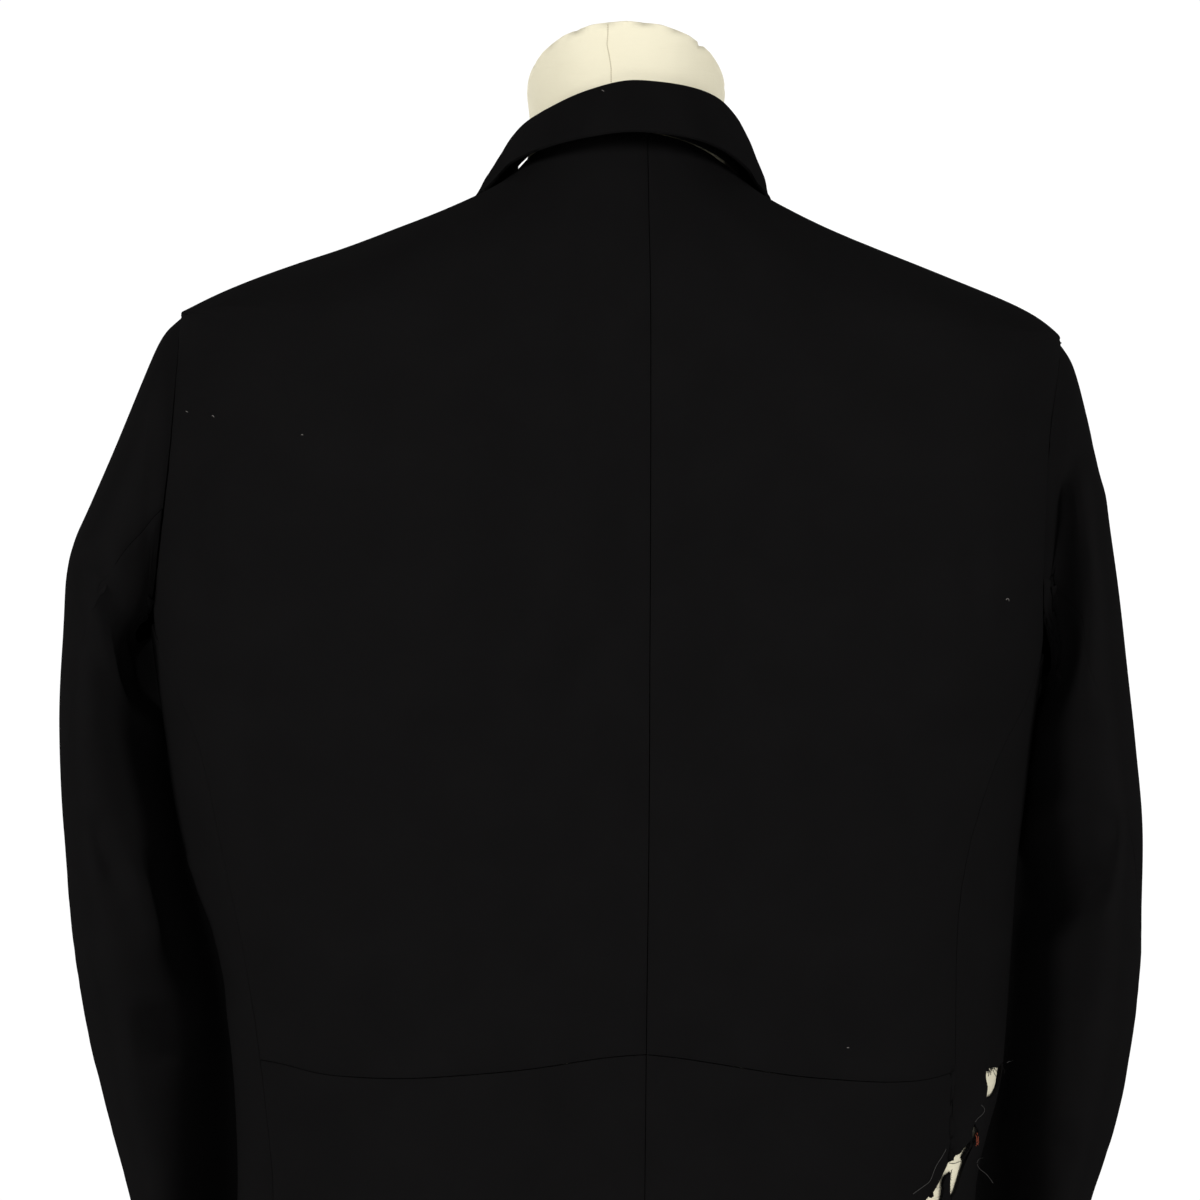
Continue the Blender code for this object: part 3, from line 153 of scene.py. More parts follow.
def wall_sides(bm):
    """The wall's faces in lists, one for each side and each rim, the largest first."""
    left, sides = set(bm.faces), []
    while left:
        side, reached = [], [left.pop()]
        while reached:
            face = reached.pop()
            side.append(face)
            for edge in face.edges:
                for other in edge.link_faces:
                    if other in left and edge.calc_face_angle(0.0) < SHARP:
                        left.remove(other)
                        reached.append(other)
        sides.append(side)
    return sorted(sides, key=lambda side: -sum(face.calc_area() for face in side))


def finer_copy(name, bm, halvings):
    """A new object with a bmesh's faces halved along smooth curves, and a bmesh of it."""
    bmesh.ops.join_triangles(
        bm,
        faces=bm.faces,
        angle_face_threshold=math.radians(40),
        angle_shape_threshold=math.radians(60),
    )
    mesh = bpy.data.meshes.new(name)
    bm.to_mesh(mesh)
    bm.free()
    piece = bpy.data.objects.new(name, mesh)
    bpy.context.scene.collection.objects.link(piece)
    smooth = piece.modifiers.new("smooth", "SUBSURF")
    smooth.levels = smooth.render_levels = halvings
    smooth.boundary_smooth = "PRESERVE_CORNERS"
    bpy.context.view_layer.update()
    shown = piece.evaluated_get(bpy.context.evaluated_depsgraph_get())
    finer = bmesh.new()
    finer.from_mesh(shown.to_mesh())
    shown.to_mesh_clear()
    piece.modifiers.clear()
    mesh.materials.clear()
    for layer in list(mesh.uv_layers):
        mesh.uv_layers.remove(layer)
    return piece, finer


def cut_panel(node, halvings=3):
    """The outer face of a node's wall as a sheet of fine, even faces."""
    bm = bmesh.new()
    bm.from_mesh(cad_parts[node].data)
    bmesh.ops.remove_doubles(bm, verts=bm.verts, dist=1e-6)
    outer = set(wall_sides(bm)[0])
    bmesh.ops.delete(bm, geom=[f for f in bm.faces if f not in outer], context="FACES")
    panel, bm = finer_copy(f"{node}_cloth", bm, halvings)
    inside = [v for v in bm.verts if not v.is_boundary]
    for _ in range(RELAX_ROUNDS):
        bmesh.ops.smooth_vert(
            bm, verts=inside, factor=0.5, use_axis_x=True, use_axis_y=True, use_axis_z=True
        )
    bm.to_mesh(panel.data)
    bm.free()
    panel.data.materials.append(WOOL)
    panels[node] = panel
    return panel


# ---------------------------------------------------------------- creasing
# Soft troughs and ridges, each along its own line, as seen from behind or from the front. All
# cloth also waves a little.
WAVE_LENGTH, WAVE_DEPTH = 0.055, 0.0009


def read_vectors(mesh, what):
    """The mesh's points ("co"), or its vertex normals ("vector"), in rows."""
    source = mesh.vertices if what == "co" else mesh.vertex_normals
    found = np.empty(len(mesh.vertices) * 3)
    source.foreach_get(what, found)
    return found.reshape(-1, 3)


def write_points(mesh, points):
    mesh.vertices.foreach_set("co", points.ravel())
    mesh.update()


def smooth_step(value, low, high):
    """0 below low, 1 above high and an even S between, for arrays. low may be the larger."""
    t = np.clip((value - low) / (high - low), 0.0, 1.0)
    return t * t * (3.0 - 2.0 * t)


def rows(names, *values):
    """A table's rows as dicts, by the names of its columns."""
    return [dict(zip(names.split(), row)) for row in values]


def fold_share(points, fold):
    """How much of a fold each point gets: all along its line, fading to its ends and sides."""
    run = np.array([fold["x1"] - fold["x0"], fold["z1"] - fold["z0"]])
    off = points[:, (0, 2)] - (fold["x0"], fold["z0"])
    t = off @ run / (run @ run)
    away = np.linalg.norm(off - t[:, None] * run, axis=1)
    ends = smooth_step(t, -0.15, 0.3) * smooth_step(t, 1.15, 0.7)
    return ends * np.exp(-((away / fold["wide"]) ** 2))


def crease(panel, behind=(), in_front=()):
    """Moves the cloth along its normals, by tables of folds for its back and its front."""
    mesh = panel.data
    points, normals = read_vectors(mesh, "co"), read_vectors(mesh, "vector")
    depth = np.array([noise.noise(Vector(p) / WAVE_LENGTH) for p in points]) * WAVE_DEPTH
    facing_back = smooth_step(normals[:, 1], -0.25, 0.15)
    for share, folds in ((facing_back, behind), (1.0 - facing_back, in_front)):
        for fold in folds:
            depth += fold["deep"] * fold_share(points, fold) * share
    write_points(mesh, points + normals * depth[:, None])


# ---------------------------------------------------------------- back and skirt
# Two upper back panels and two below the waist seam, joined down the middle. They hang from the
# shoulders in long, shallow drapes.
BACK_FOLDS = rows(
    "x0 z0 x1 z1 deep wide",
    (0.129, 0.689, 0.144, 0.598, -0.0016, 0.008),
    (0.061, 0.676, 0.072, 0.616, -0.0012, 0.007),
    (0.008, 0.744, 0.014, 0.621, -0.0012, 0.009),
    (0.014, 0.621, 0.024, 0.484, -0.0018, 0.009),
    (0.110, 0.589, 0.104, 0.520, -0.0012, 0.008),
    (0.144, 0.557, 0.151, 0.447, -0.0016, 0.009),
    (-0.048, 0.689, -0.043, 0.603, -0.0016, 0.008),
    (-0.109, 0.616, -0.118, 0.566, -0.0016, 0.008),
    (-0.059, 0.552, -0.055, 0.461, -0.0012, 0.008),
    (-0.077, 0.548, -0.093, 0.498, -0.0014, 0.006),
    (-0.077, 0.507, -0.080, 0.402, -0.0014, 0.009),
    (-0.143, 0.507, -0.166, 0.447, -0.0018, 0.009),
    (-0.016, 0.520, -0.009, 0.393, -0.0012, 0.008),
    (0.076, 0.502, 0.094, 0.438, -0.0012, 0.008),
    (0.094, 0.438, 0.087, 0.352, -0.0016, 0.009),
    (-0.107, 0.402, -0.098, 0.325, -0.0016, 0.009),
    (0.190, 0.548, 0.201, 0.507, -0.0018, 0.008),
    (0.201, 0.507, 0.190, 0.438, -0.0022, 0.009),
    (-0.191, 0.621, -0.193, 0.548, -0.0014, 0.008),
    (0.176, 0.694, 0.206, 0.667, -0.0014, 0.010),
    (0.223, 0.670, 0.220, 0.560, -0.0040, 0.009),
    (0.172, 0.700, 0.153, 0.640, 0.0010, 0.006),
    (-0.001, 0.302, 0.001, 0.256, -0.0012, 0.008),
    (-0.203, 0.368, -0.200, 0.334, 0.0012, 0.005),
    (0.030, 0.826, 0.045, 0.820, -0.0010, 0.004),
)
for node in ("back_left", "back_right", "skirt_left", "skirt_right"):
    crease(cut_panel(node), behind=BACK_FOLDS)

# ---------------------------------------------------------------- side panels
# Under-arm panels from the armholes to the hem. The left one puckers where the waist nips in.
LEFT_SIDE_FOLDS = rows(
    "x0 z0 x1 z1 deep wide",
    (0.231, 0.470, 0.215, 0.410, -0.0022, 0.006),
    (0.226, 0.410, 0.208, 0.350, -0.0026, 0.006),
    (0.232, 0.436, 0.222, 0.424, 0.0014, 0.005),
)
crease(cut_panel("side_left"), behind=LEFT_SIDE_FOLDS)
crease(cut_panel("side_right"), behind=BACK_FOLDS)

# ---------------------------------------------------------------- fronts
# Left over right, with soft pulls out of the top button and loose drapes beside the lapels.
FRONT_FOLDS = rows(
    "x0 z0 x1 z1 deep wide",
    (0.020, 0.405, 0.120, 0.450, -0.0022, 0.009),
    (-0.020, 0.405, -0.120, 0.445, -0.0022, 0.009),
    (0.022, 0.395, 0.105, 0.368, -0.0016, 0.008),
    (-0.022, 0.395, -0.105, 0.368, -0.0016, 0.008),
    (0.150, 0.620, 0.165, 0.500, -0.0020, 0.010),
    (-0.150, 0.615, -0.160, 0.500, -0.0020, 0.010),
    (0.200, 0.560, 0.190, 0.450, -0.0018, 0.009),
    (-0.200, 0.555, -0.190, 0.450, -0.0018, 0.009),
    (0.080, 0.290, 0.100, 0.130, -0.0016, 0.012),
    (-0.080, 0.290, -0.100, 0.130, -0.0016, 0.012),
)
for node in ("front_left", "front_right"):
    crease(cut_panel(node), in_front=FRONT_FOLDS)

# ---------------------------------------------------------------- lapels and collar
# Pressed back over the fronts, and stitched to each other at the gorge. The collar's fall is
# pressed down until its edge all but touches the back.
COLLAR_FOLDS = rows(
    "x0 z0 x1 z1 deep wide",
    (0.026, 0.832, 0.031, 0.824, -0.0008, 0.003),
    (0.050, 0.846, 0.062, 0.823, 0.0008, 0.006),
    (-0.066, 0.842, -0.078, 0.820, 0.0008, 0.006),
)
COLLAR_LIFT, COLLAR_LOOSE, COLLAR_FREE = 0.0024, 0.003, 0.009
for node in ("lapel_left", "lapel_right", "collar"):
    crease(cut_panel(node), behind=COLLAR_FOLDS)


def gaps_to(points, pieces, reach):
    """Each point's distance to the nearest of the pieces, and the way there."""
    graph = bpy.context.evaluated_depsgraph_get()
    gaps, ways = np.full(len(points), reach), np.zeros((len(points), 3))
    for tree in [bvhtree.BVHTree.FromObject(piece, graph) for piece in pieces]:
        for v, point in enumerate(points):
            near, _, _, gap = tree.find_nearest(Vector(point), reach)
            if near is not None and gap < gaps[v]:
                gaps[v], ways[v] = gap, (near - Vector(point)) / max(gap, 1e-6)
    return gaps, ways


def press_down(panel, below):
    """Lowers a turned-over edge to COLLAR_LIFT above the cloth that lies below it."""
    points, normals = read_vectors(panel.data, "co"), read_vectors(panel.data, "vector")
    gaps, ways = gaps_to(points, [panels[node] for node in below], COLLAR_FREE)
    lying = smooth_step(-(ways * normals).sum(axis=1), 0.3, 0.75)
    loose = (gaps - COLLAR_LIFT).clip(0.0) * smooth_step(gaps, COLLAR_FREE, COLLAR_LOOSE)
    write_points(panel.data, points + ways * (loose * lying)[:, None])


bpy.context.view_layer.update()
press_down(panels["collar"], ("back_left", "back_right", "front_left", "front_right"))

# ---------------------------------------------------------------- sleeves
# Two-piece sleeves that hang empty. They cave in behind the elbow, and bag below it.
LEFT_SLEEVE_FOLDS = rows(
    "x0 z0 x1 z1 deep wide",
    (0.289, 0.598, 0.262, 0.568, -0.0060, 0.009),
    (0.264, 0.574, 0.252, 0.515, -0.0120, 0.010),
    (0.256, 0.560, 0.252, 0.515, -0.0040, 0.007),
    (0.292, 0.606, 0.262, 0.604, 0.0020, 0.009),
    (0.232, 0.600, 0.240, 0.570, 0.0040, 0.008),
    (0.286, 0.548, 0.284, 0.500, 0.0022, 0.009),
    (0.284, 0.456, 0.262, 0.420, -0.0070, 0.010),
    (0.262, 0.436, 0.248, 0.384, 0.0050, 0.007),
    (0.248, 0.445, 0.236, 0.370, -0.0070, 0.008),
    (0.250, 0.356, 0.243, 0.325, -0.0080, 0.009),
    (0.246, 0.545, 0.242, 0.490, 0.0070, 0.009),
    (0.286, 0.386, 0.277, 0.360, 0.0014, 0.003),
    (0.242, 0.321, 0.212, 0.330, 0.0018, 0.004),
    (0.268, 0.350, 0.262, 0.270, 0.0022, 0.010),
)
RIGHT_SLEEVE_FOLDS = rows(
    "x0 z0 x1 z1 deep wide",
    (-0.255, 0.662, -0.241, 0.622, -0.0050, 0.006),
    (-0.240, 0.650, -0.239, 0.520, -0.0120, 0.009),
    (-0.262, 0.640, -0.254, 0.600, 0.0020, 0.008),
    (-0.272, 0.460, -0.262, 0.432, -0.0050, 0.008),
    (-0.264, 0.434, -0.232, 0.396, -0.0110, 0.011),
    (-0.244, 0.470, -0.224, 0.434, 0.0060, 0.010),
    (-0.229, 0.525, -0.227, 0.470, 0.0060, 0.010),
    (-0.275, 0.400, -0.250, 0.320, 0.0026, 0.012),
    (-0.280, 0.400, -0.283, 0.372, 0.0012, 0.004),
    (-0.270, 0.335, -0.281, 0.352, 0.0012, 0.004),
    (-0.240, 0.290, -0.250, 0.262, -0.0024, 0.010),
)
SLEEVE_FRONT_FOLDS = rows(
    "x0 z0 x1 z1 deep wide",
    (0.225, 0.500, 0.290, 0.470, -0.0026, 0.008),
    (0.222, 0.455, 0.288, 0.435, -0.0028, 0.009),
    (0.218, 0.405, 0.270, 0.385, -0.0022, 0.008),
    (-0.225, 0.500, -0.280, 0.470, -0.0026, 0.008),
    (-0.222, 0.455, -0.280, 0.435, -0.0028, 0.009),
    (-0.218, 0.405, -0.265, 0.385, -0.0022, 0.008),
)
for node in ("sleeve_top_left", "sleeve_under_left"):
    crease(cut_panel(node), LEFT_SLEEVE_FOLDS, SLEEVE_FRONT_FOLDS)
for node in ("sleeve_top_right", "sleeve_under_right"):
    crease(cut_panel(node), RIGHT_SLEEVE_FOLDS, SLEEVE_FRONT_FOLDS)

# ---------------------------------------------------------------- sewing and pressing
# Neighbours are drawn together until a seam is a thin dark line, shut below the surface. The
# stitches sink the cloth a little and pucker it, and every edge is pressed round.
CLOTH_THICK = 0.0018
EDGE_ROUND = 0.0003
SEAM_REACH, SEAM_FADE = 0.0030, 0.006
SEAM_OPEN, SEAM_SINK = 0.00030, 0.0007
PUCKER_LENGTH, PUCKER_DEPTH = 0.009, 0.0004
TEAR_BOX = ((-0.216, 0.232), (-0.150, 0.328))
TEAR_CURL = 0.0010
PIECES = rows(
    "node width length area held hangs_from",
    ("back_left", 0.285, 0.505, 0.1365, "draped", "form_linen"),
    ("back_right", 0.240, 0.505, 0.1130, "draped", "form_linen"),
    ("skirt_left", 0.220, 0.262, 0.0545, "draped", "back_left_cloth"),
    ("skirt_right", 0.190, 0.262, 0.0462, "draped", "back_right_cloth"),
    ("side_left", 0.145, 0.490, 0.0640, "draped", "form_linen"),
    ("side_right", 0.145, 0.475, 0.0624, "draped", "form_linen"),
    ("front_left", 0.285, 0.735, 0.1726, "draped", "form_linen"),
    ("front_right", 0.285, 0.735, 0.1680, "draped", "form_linen"),
    ("lapel_left", 0.130, 0.330, 0.0255, "folded", "front_left_cloth"),
    ("lapel_right", 0.130, 0.330, 0.0255, "folded", "front_right_cloth"),
    ("collar", 0.500, 0.090, 0.0330, "folded", "back_left_cloth"),
    ("sleeve_top_left", 0.195, 0.620, 0.0996, "hung", "back_left_cloth"),
    ("sleeve_under_left", 0.185, 0.510, 0.0884, "hung", "side_left_cloth"),
    ("sleeve_top_right", 0.195, 0.605, 0.0977, "hung", "back_right_cloth"),
    ("sleeve_under_right", 0.180, 0.475, 0.0816, "hung", "side_right_cloth"),
)
torn_edges = []


def rim_pairs(mesh):
    """Vertex pairs of the edges that only one face uses."""
    uses = {}
    for polygon in mesh.polygons:
        for pair in polygon.edge_keys:
            uses[pair] = uses.get(pair, 0) + 1
    return [pair for pair, count in uses.items() if count == 1]


def tree_of(points):
    tree = kdtree.KDTree(len(points))
    for n, point in enumerate(points):
        tree.insert(Vector(point), n)
    tree.balance()
    return tree


def sew(sheets):
    """Draws every sheet's rim halfway to the nearest rim of another, and gives back the
    numbers of each sheet's joined vertices."""
    rims = {node: rim_pairs(panel.data) for node, panel in sheets.items()}
    places = {node: read_vectors(panel.data, "co") for node, panel in sheets.items()}
    steps = [(n + 0.5) / 4 for n in range(4)]
    sewn = {}
    for node, panel in sheets.items():
        near_tree = tree_of(
            [
                places[other][a] * (1 - t) + places[other][b] * t
                for other in sheets
                if other != node
                for a, b in rims[other]
                for t in steps
            ]
        )
        own = sorted({v for pair in rims[node] for v in pair})
        own_tree = tree_of(places[node][own])
        shift, joined = np.zeros((len(own), 3)), np.zeros(len(own))
        for k, v in enumerate(own):
            near, _, gap = near_tree.find(Vector(places[node][v]))
            if gap < SEAM_REACH:
                joined[k] = 1.0
                share = 0.5 - min(0.5, SEAM_OPEN / max(gap, 1e-6))
                shift[k] = (near - Vector(places[node][v])) * share
        normals = read_vectors(panel.data, "vector")
        result = places[node].copy()
        for v, point in enumerate(places[node]):
            _, k, gap = own_tree.find(Vector(point))
            pucker = noise.noise(Vector(point) / PUCKER_LENGTH) * PUCKER_DEPTH
            result[v] += normals[v] * (pucker * joined[k] * math.exp(-gap / PUCKER_LENGTH))
            if gap < SEAM_FADE:
                fade = (1 - gap / SEAM_FADE) ** 2
                result[v] += shift[k] * fade - normals[v] * (SEAM_SINK * joined[k] * fade)
        write_points(panel.data, result)
        sewn[node] = {v for v, is_joined in zip(own, joined) if is_joined}
    return sewn


def thicken(panel, sewn):
    """Gives a sheet its thickness. Below a seam, its wall reaches past the seam's middle."""
    bm = bmesh.new()
    bm.from_mesh(panel.data)
    bm.normal_update()
    bm.verts.index_update()
    lower = [vert.co - vert.normal * CLOTH_THICK for vert in bm.verts]
    drawn_back = [Vector() for _ in bm.verts]
    (low_x, low_z), (high_x, high_z) = TEAR_BOX
    for edge in bm.edges:
        if not edge.is_boundary:
            continue
        (a, b), face = edge.verts, edge.link_faces[0]
        across = (b.co - a.co).cross(face.normal).normalized()
        if across.dot(face.calc_center_median() - a.co) > 0:
            across.negate()
        for vert in (a, b):
            if vert.index in sewn:
                lower[vert.index] += across * SEAM_OPEN
        at = (a.co + b.co) / 2
        in_tear = low_x < at.x < high_x and low_z < at.z < high_z
        if in_tear and at.y > 0 and not (a.index in sewn or b.index in sewn):
            torn_edges.append((at - across * TEAR_CURL, across, face.normal.copy()))
            for vert in (a, b):
                drawn_back[vert.index] -= across * TEAR_CURL / 2
    number = bm.verts.layers.int.new("number")
    for vert in bm.verts:
        vert[number] = vert.index
        vert.co += drawn_back[vert.index]
    made = bmesh.ops.extrude_face_region(
        bm, geom=bm.verts[:] + bm.edges[:] + bm.faces[:], use_keep_orig=True
    )
    for vert in made["geom"]:
        if isinstance(vert, bmesh.types.BMVert):
            vert.co = lower[vert[number]] + drawn_back[vert[number]]
    bm.verts.layers.int.remove(number)
    bmesh.ops.recalc_face_normals(bm, faces=bm.faces[:])
    bm.to_mesh(panel.data)
    bm.free()


def lay_out(piece, middle, radius=None):
    """The UV map "cloth": metres round an upright axis, from the piece's middle, and up. With
    no radius, each point has its own."""
    points = read_vectors(piece.data, "co")
    off = points[:, :2] - middle
    mean_turn = math.atan2(*off.mean(axis=0)[::-1])
    turn = (np.arctan2(off[:, 1], off[:, 0]) - mean_turn + math.pi) % math.tau - math.pi
    across = turn * (np.hypot(*off.T) if radius is None else radius)
    corners = np.empty(len(piece.data.loops), dtype=np.int32)
    piece.data.loops.foreach_get("vertex_index", corners)
    uv = np.stack([across, points[:, 2]], axis=1)[corners]
    layer = piece.data.uv_layers.new(name="cloth")
    layer.data.foreach_set("uv", uv.ravel().astype(np.float32))


sewn = sew(panels)
for row in PIECES:
    panel = panels[row["node"]]
    thicken(panel, sewn[row["node"]])
    if "sleeve" in row["node"]:
        lay_out(panel, (0.25 if "left" in row["node"] else -0.25, -0.03), 0.045)
    else:
        lay_out(panel, (0.0, 0.0), 0.17)
    panel.data.shade_smooth()
    rounding = panel.modifiers.new("pressed edge", "BEVEL")
    rounding.width = EDGE_ROUND
    rounding.segments = 2
    rounding.limit_method = "ANGLE"
    rounding.angle_limit = math.radians(50)
    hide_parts(row["node"])
    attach(panel, "root")

# ---------------------------------------------------------------- dress form
# A limbless torso under stretched cream linen, sewn up the back of the neck with small, even
# stitches of a browner thread.
LINEN = (0.76, 0.705, 0.525)
LINEN_PALE = (0.84, 0.79, 0.61)
SEAM_THREAD = (0.42, 0.36, 0.25)
NECK_SEAM = ((0.0034, 0.8857), (0.0034, 0.8808), (0.0039, 0.8748), (0.0028, 0.8694),
             (0.0017, 0.8623), (0.0017, 0.8400))
STITCH_STEP, STITCH_LONG, STITCH_WIDE = 0.0012, 0.0007, 0.00022
HIP_REACH, HIP_CLEAR = 0.020, 0.0008
HIP_LOW, HIP_HIGH = (0.215, 0.235), (0.350, 0.330)

bm = bmesh.new()
bm.from_mesh(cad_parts["form"].data)
bmesh.ops.remove_doubles(bm, verts=bm.verts, dist=1e-6)
crease_layer = bm.edges.layers.float.new("crease_edge")
for edge in bm.edges:
    if edge.calc_face_angle(0.0) > SHARP:
        edge[crease_layer] = 0.8
form_linen, bm = finer_copy("form_linen", bm, 2)
bm.to_mesh(form_linen.data)
bm.free()
points = read_vectors(form_linen.data, "co")
gaps, ways = gaps_to(points, [panels["side_right"], panels["skirt_right"]], HIP_REACH)
near_tears = smooth_step(points[:, 2], *HIP_LOW) * smooth_step(points[:, 2], *HIP_HIGH)
near_tears *= smooth_step(points[:, 0], -0.12, -0.15) * smooth_step(points[:, 1], -0.06, -0.02)
fill = (gaps - HIP_CLEAR).clip(0.0) * (gaps < HIP_REACH) * near_tears
write_points(form_linen.data, points + ways * fill[:, None])
form_linen.data.shade_smooth()
LINEN_CLOTH, linen_shader = woven_material(
    "cream linen", LINEN, LINEN_PALE, 0.0009, 0.0012, 0.85, 0.35
)
linen_shader.inputs["Roughness"].default_value = 0.9
linen_shader.inputs["Specular IOR Level"].default_value = 0.15
form_linen.data.materials.append(LINEN_CLOTH)
lay_out(form_linen, (0.0, 0.0))
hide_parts("form")
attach(form_linen, "root")


def plain_material(name, colour, worn, roughness, grain):
    """A Principled material whose colour and height vary with a noise of grain per metre."""
    made = bpy.data.materials.new(name)
    made.use_nodes = True
    tree = made.node_tree
    shader = tree.nodes["Principled BSDF"]
    shader.inputs["Roughness"].default_value = roughness
    place = tree.nodes.new("ShaderNodeTexCoord")
    spots = tree.nodes.new("ShaderNodeTexNoise")
    spots.inputs["Scale"].default_value = grain
    spots.inputs["Detail"].default_value = 4.0
    mix = tree.nodes.new("ShaderNodeMix")
    mix.data_type = "RGBA"
    mix.inputs["A"].default_value = (*colour, 1.0)
    mix.inputs["B"].default_value = (*worn, 1.0)
    bump = tree.nodes.new("ShaderNodeBump")
    bump.inputs["Strength"].default_value = 0.3
    bump.inputs["Distance"].default_value = 0.0002
    tree.links.new(place.outputs["Object"], spots.inputs["Vector"])
    tree.links.new(spots.outputs["Fac"], mix.inputs["Factor"])
    tree.links.new(mix.outputs["Result"], shader.inputs["Base Color"])
    tree.links.new(spots.outputs["Fac"], bump.inputs["Height"])
    tree.links.new(bump.outputs["Normal"], shader.inputs["Normal"])
    return made


def yarn(name, paths, radius, material, slot):
    """Round threads along paths of points, as one piece that rides on the part."""
    curve = bpy.data.curves.new(name, "CURVE")
    curve.dimensions = "3D"
    curve.bevel_depth = radius
    curve.bevel_resolution = 1
    curve.use_fill_caps = True
    for path in paths:
        spline = curve.splines.new("NURBS")
        spline.points.add(len(path) - 1)
        for point, place in zip(spline.points, path):
            point.co = (*place, 1.0)
        spline.order_u = min(3, len(path))
        spline.use_endpoint_u = True
        spline.resolution_u = 3
    drawn = bpy.data.objects.new(name + "_line", curve)
    bpy.context.scene.collection.objects.link(drawn)
    bpy.context.view_layer.update()
    shown = drawn.evaluated_get(bpy.context.evaluated_depsgraph_get())
    mesh = bpy.data.meshes.new_from_object(shown)
    bpy.data.objects.remove(drawn)
    mesh.materials.clear()
    mesh.materials.append(material)
    mesh.shade_smooth()
    piece = bpy.data.objects.new(name, mesh)
    bpy.context.scene.collection.objects.link(piece)
    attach(piece, "root")
    return piece


def surface(*pieces):
    """Search trees of the pieces' finished surfaces."""
    bpy.context.view_layer.update()
    graph = bpy.context.evaluated_depsgraph_get()
    return [bvhtree.BVHTree.FromObject(piece, graph) for piece in pieces]


def first_hit(trees, start, way):
    """Where a line from start first meets one of the surfaces, and the surface's normal."""
    found = [tree.ray_cast(start, way) for tree in trees]
    found = [hit for hit in found if hit[0] is not None]
    if not found:
        return None, None
    place, normal, _, _ = min(found, key=lambda hit: hit[3])
    return place, normal


def stitch_line(trees, line, way):
    """Short straight stitches along a line of (x, z) points, laid on the surfaces."""
    stitches = []
    for (x0, z0), (x1, z1) in zip(line, line[1:]):
        run = math.hypot(x1 - x0, z1 - z0)
        count = max(1, round(run / STITCH_STEP))
        for n in range(count):
            ends = []
            for along in (n * run / count, n * run / count + STITCH_LONG):
                t = along / run
                start = Vector((x0 + (x1 - x0) * t, -way.y, z0 + (z1 - z0) * t))
                place, normal = first_hit(trees, start, way)
                if place is not None:
                    ends.append(place + normal * (STITCH_WIDE * 0.4))
            if len(ends) == 2:
                stitches.append([ends[0], (ends[0] + ends[1]) / 2, ends[1]])
    return stitches


seam_thread = plain_material("brown thread", SEAM_THREAD, (0.5, 0.44, 0.31), 0.9, 900.0)
yarn(
    "form_neck_stitches",
    stitch_line(surface(form_linen), NECK_SEAM, Vector((0, -1, 0))),
    STITCH_WIDE,
    seam_thread,
    "linen",
)

# ---------------------------------------------------------------- torn edges and lint
# Ends of the wool's own yarn stand out of the tears, some long ones hang loose or cross a hole,
# and a wisp of red-orange yarn is caught in the slit. A few pale specks of lint lie on the back.
CAMERA_X, CAMERA_Y, CAMERA_Z = 0.0077, 3.0, 0.575
SEEN_WIDTH = 0.66
PHOTO_SIDE = 1200
FRAY_RADIUS, LOOSE_RADIUS = 0.00010, 0.00014
FRAY_SHORT, FRAY_LONG = 0.0006, 0.0026

draw = random.Random(7)
cloths = surface(*panels.values(), form_linen)


def seen_at(pixels, lift=0.0006):
    """Points on the nearest surface behind each pixel of the camera's view, moved out."""
    eye, path = Vector((CAMERA_X, CAMERA_Y, CAMERA_Z)), []
    scale = SEEN_WIDTH / PHOTO_SIDE
    depth = 0.05
    for px, py in pixels:
        across, up = (PHOTO_SIDE / 2 - px) * scale, (PHOTO_SIDE / 2 - py) * scale
        way = Vector((across, -CAMERA_Y, up)).normalized()
        place, _ = first_hit(cloths, eye, way)
        if place is None or place.y < -0.02:
            place = eye + way * ((CAMERA_Y - depth) / -way.y)
        depth = place.y
        path.append(place - way * lift)
    return path


ends_of_yarn = []
for at, across, normal in torn_edges:
    for _ in range(draw.choice((1, 2, 2, 3))):
        long = draw.uniform(FRAY_SHORT, FRAY_LONG) * draw.choice((0.5, 0.8, 1.0, 1.4))
        side = across.cross(normal) * draw.uniform(-0.7, 0.7)
        start = at + across.cross(normal) * draw.uniform(-0.001, 0.001) - normal * 0.0007
        way = (across + side + normal * draw.uniform(-0.1, 0.25)).normalized()
        middle = start + way * long * 0.5 + normal * draw.uniform(-0.0003, 0.0004)
        end = start + way * long + Vector((0, 0, -draw.uniform(0.0, 0.5) * long))
        ends_of_yarn.append([start - across * 0.0008, middle, end])
black_yarn = plain_material("black yarn", (0.0060, 0.0058, 0.0058), (0.011, 0.010, 0.010), 0.95, 700.0)
black_yarn.node_tree.nodes["Principled BSDF"].inputs["Specular IOR Level"].default_value = 0.0
yarn("frayed_yarn", ends_of_yarn, FRAY_RADIUS, black_yarn, "wool")

LOOSE_BLACK = (
    ((986, 1067), (988, 1069), (990, 1071), (991, 1075)),
    ((992, 1067), (993, 1070), (995, 1075), (998, 1079)),
    ((994, 1068), (996, 1071), (999, 1072), (1001, 1076)),
    ((1002, 1066), (1003, 1068), (1005, 1071), (1004, 1074)),
    ((961, 1147), (965, 1151), (968, 1156), (971, 1160)),
    ((970, 1149), (967, 1152), (964, 1157), (961, 1160)),
    ((963, 1154), (963, 1158), (962, 1162), (963, 1165)),
    ((949, 1163), (954, 1164), (958, 1162), (963, 1161)),
)
LOOSE_GREY = (
    ((981, 1105), (984, 1107), (985, 1111), (982, 1115), (978, 1118), (975, 1122)),
    ((977, 1164), (979, 1169), (984, 1172), (989, 1177), (993, 1183)),
    ((983, 1158), (980, 1158), (978, 1160), (977, 1163)),
    ((1007, 1063), (1009, 1061), (1011, 1062), (1013, 1060)),
    ((946, 1149), (944, 1154), (935, 1167), (931, 1181), (924, 1186), (913, 1194)),
)
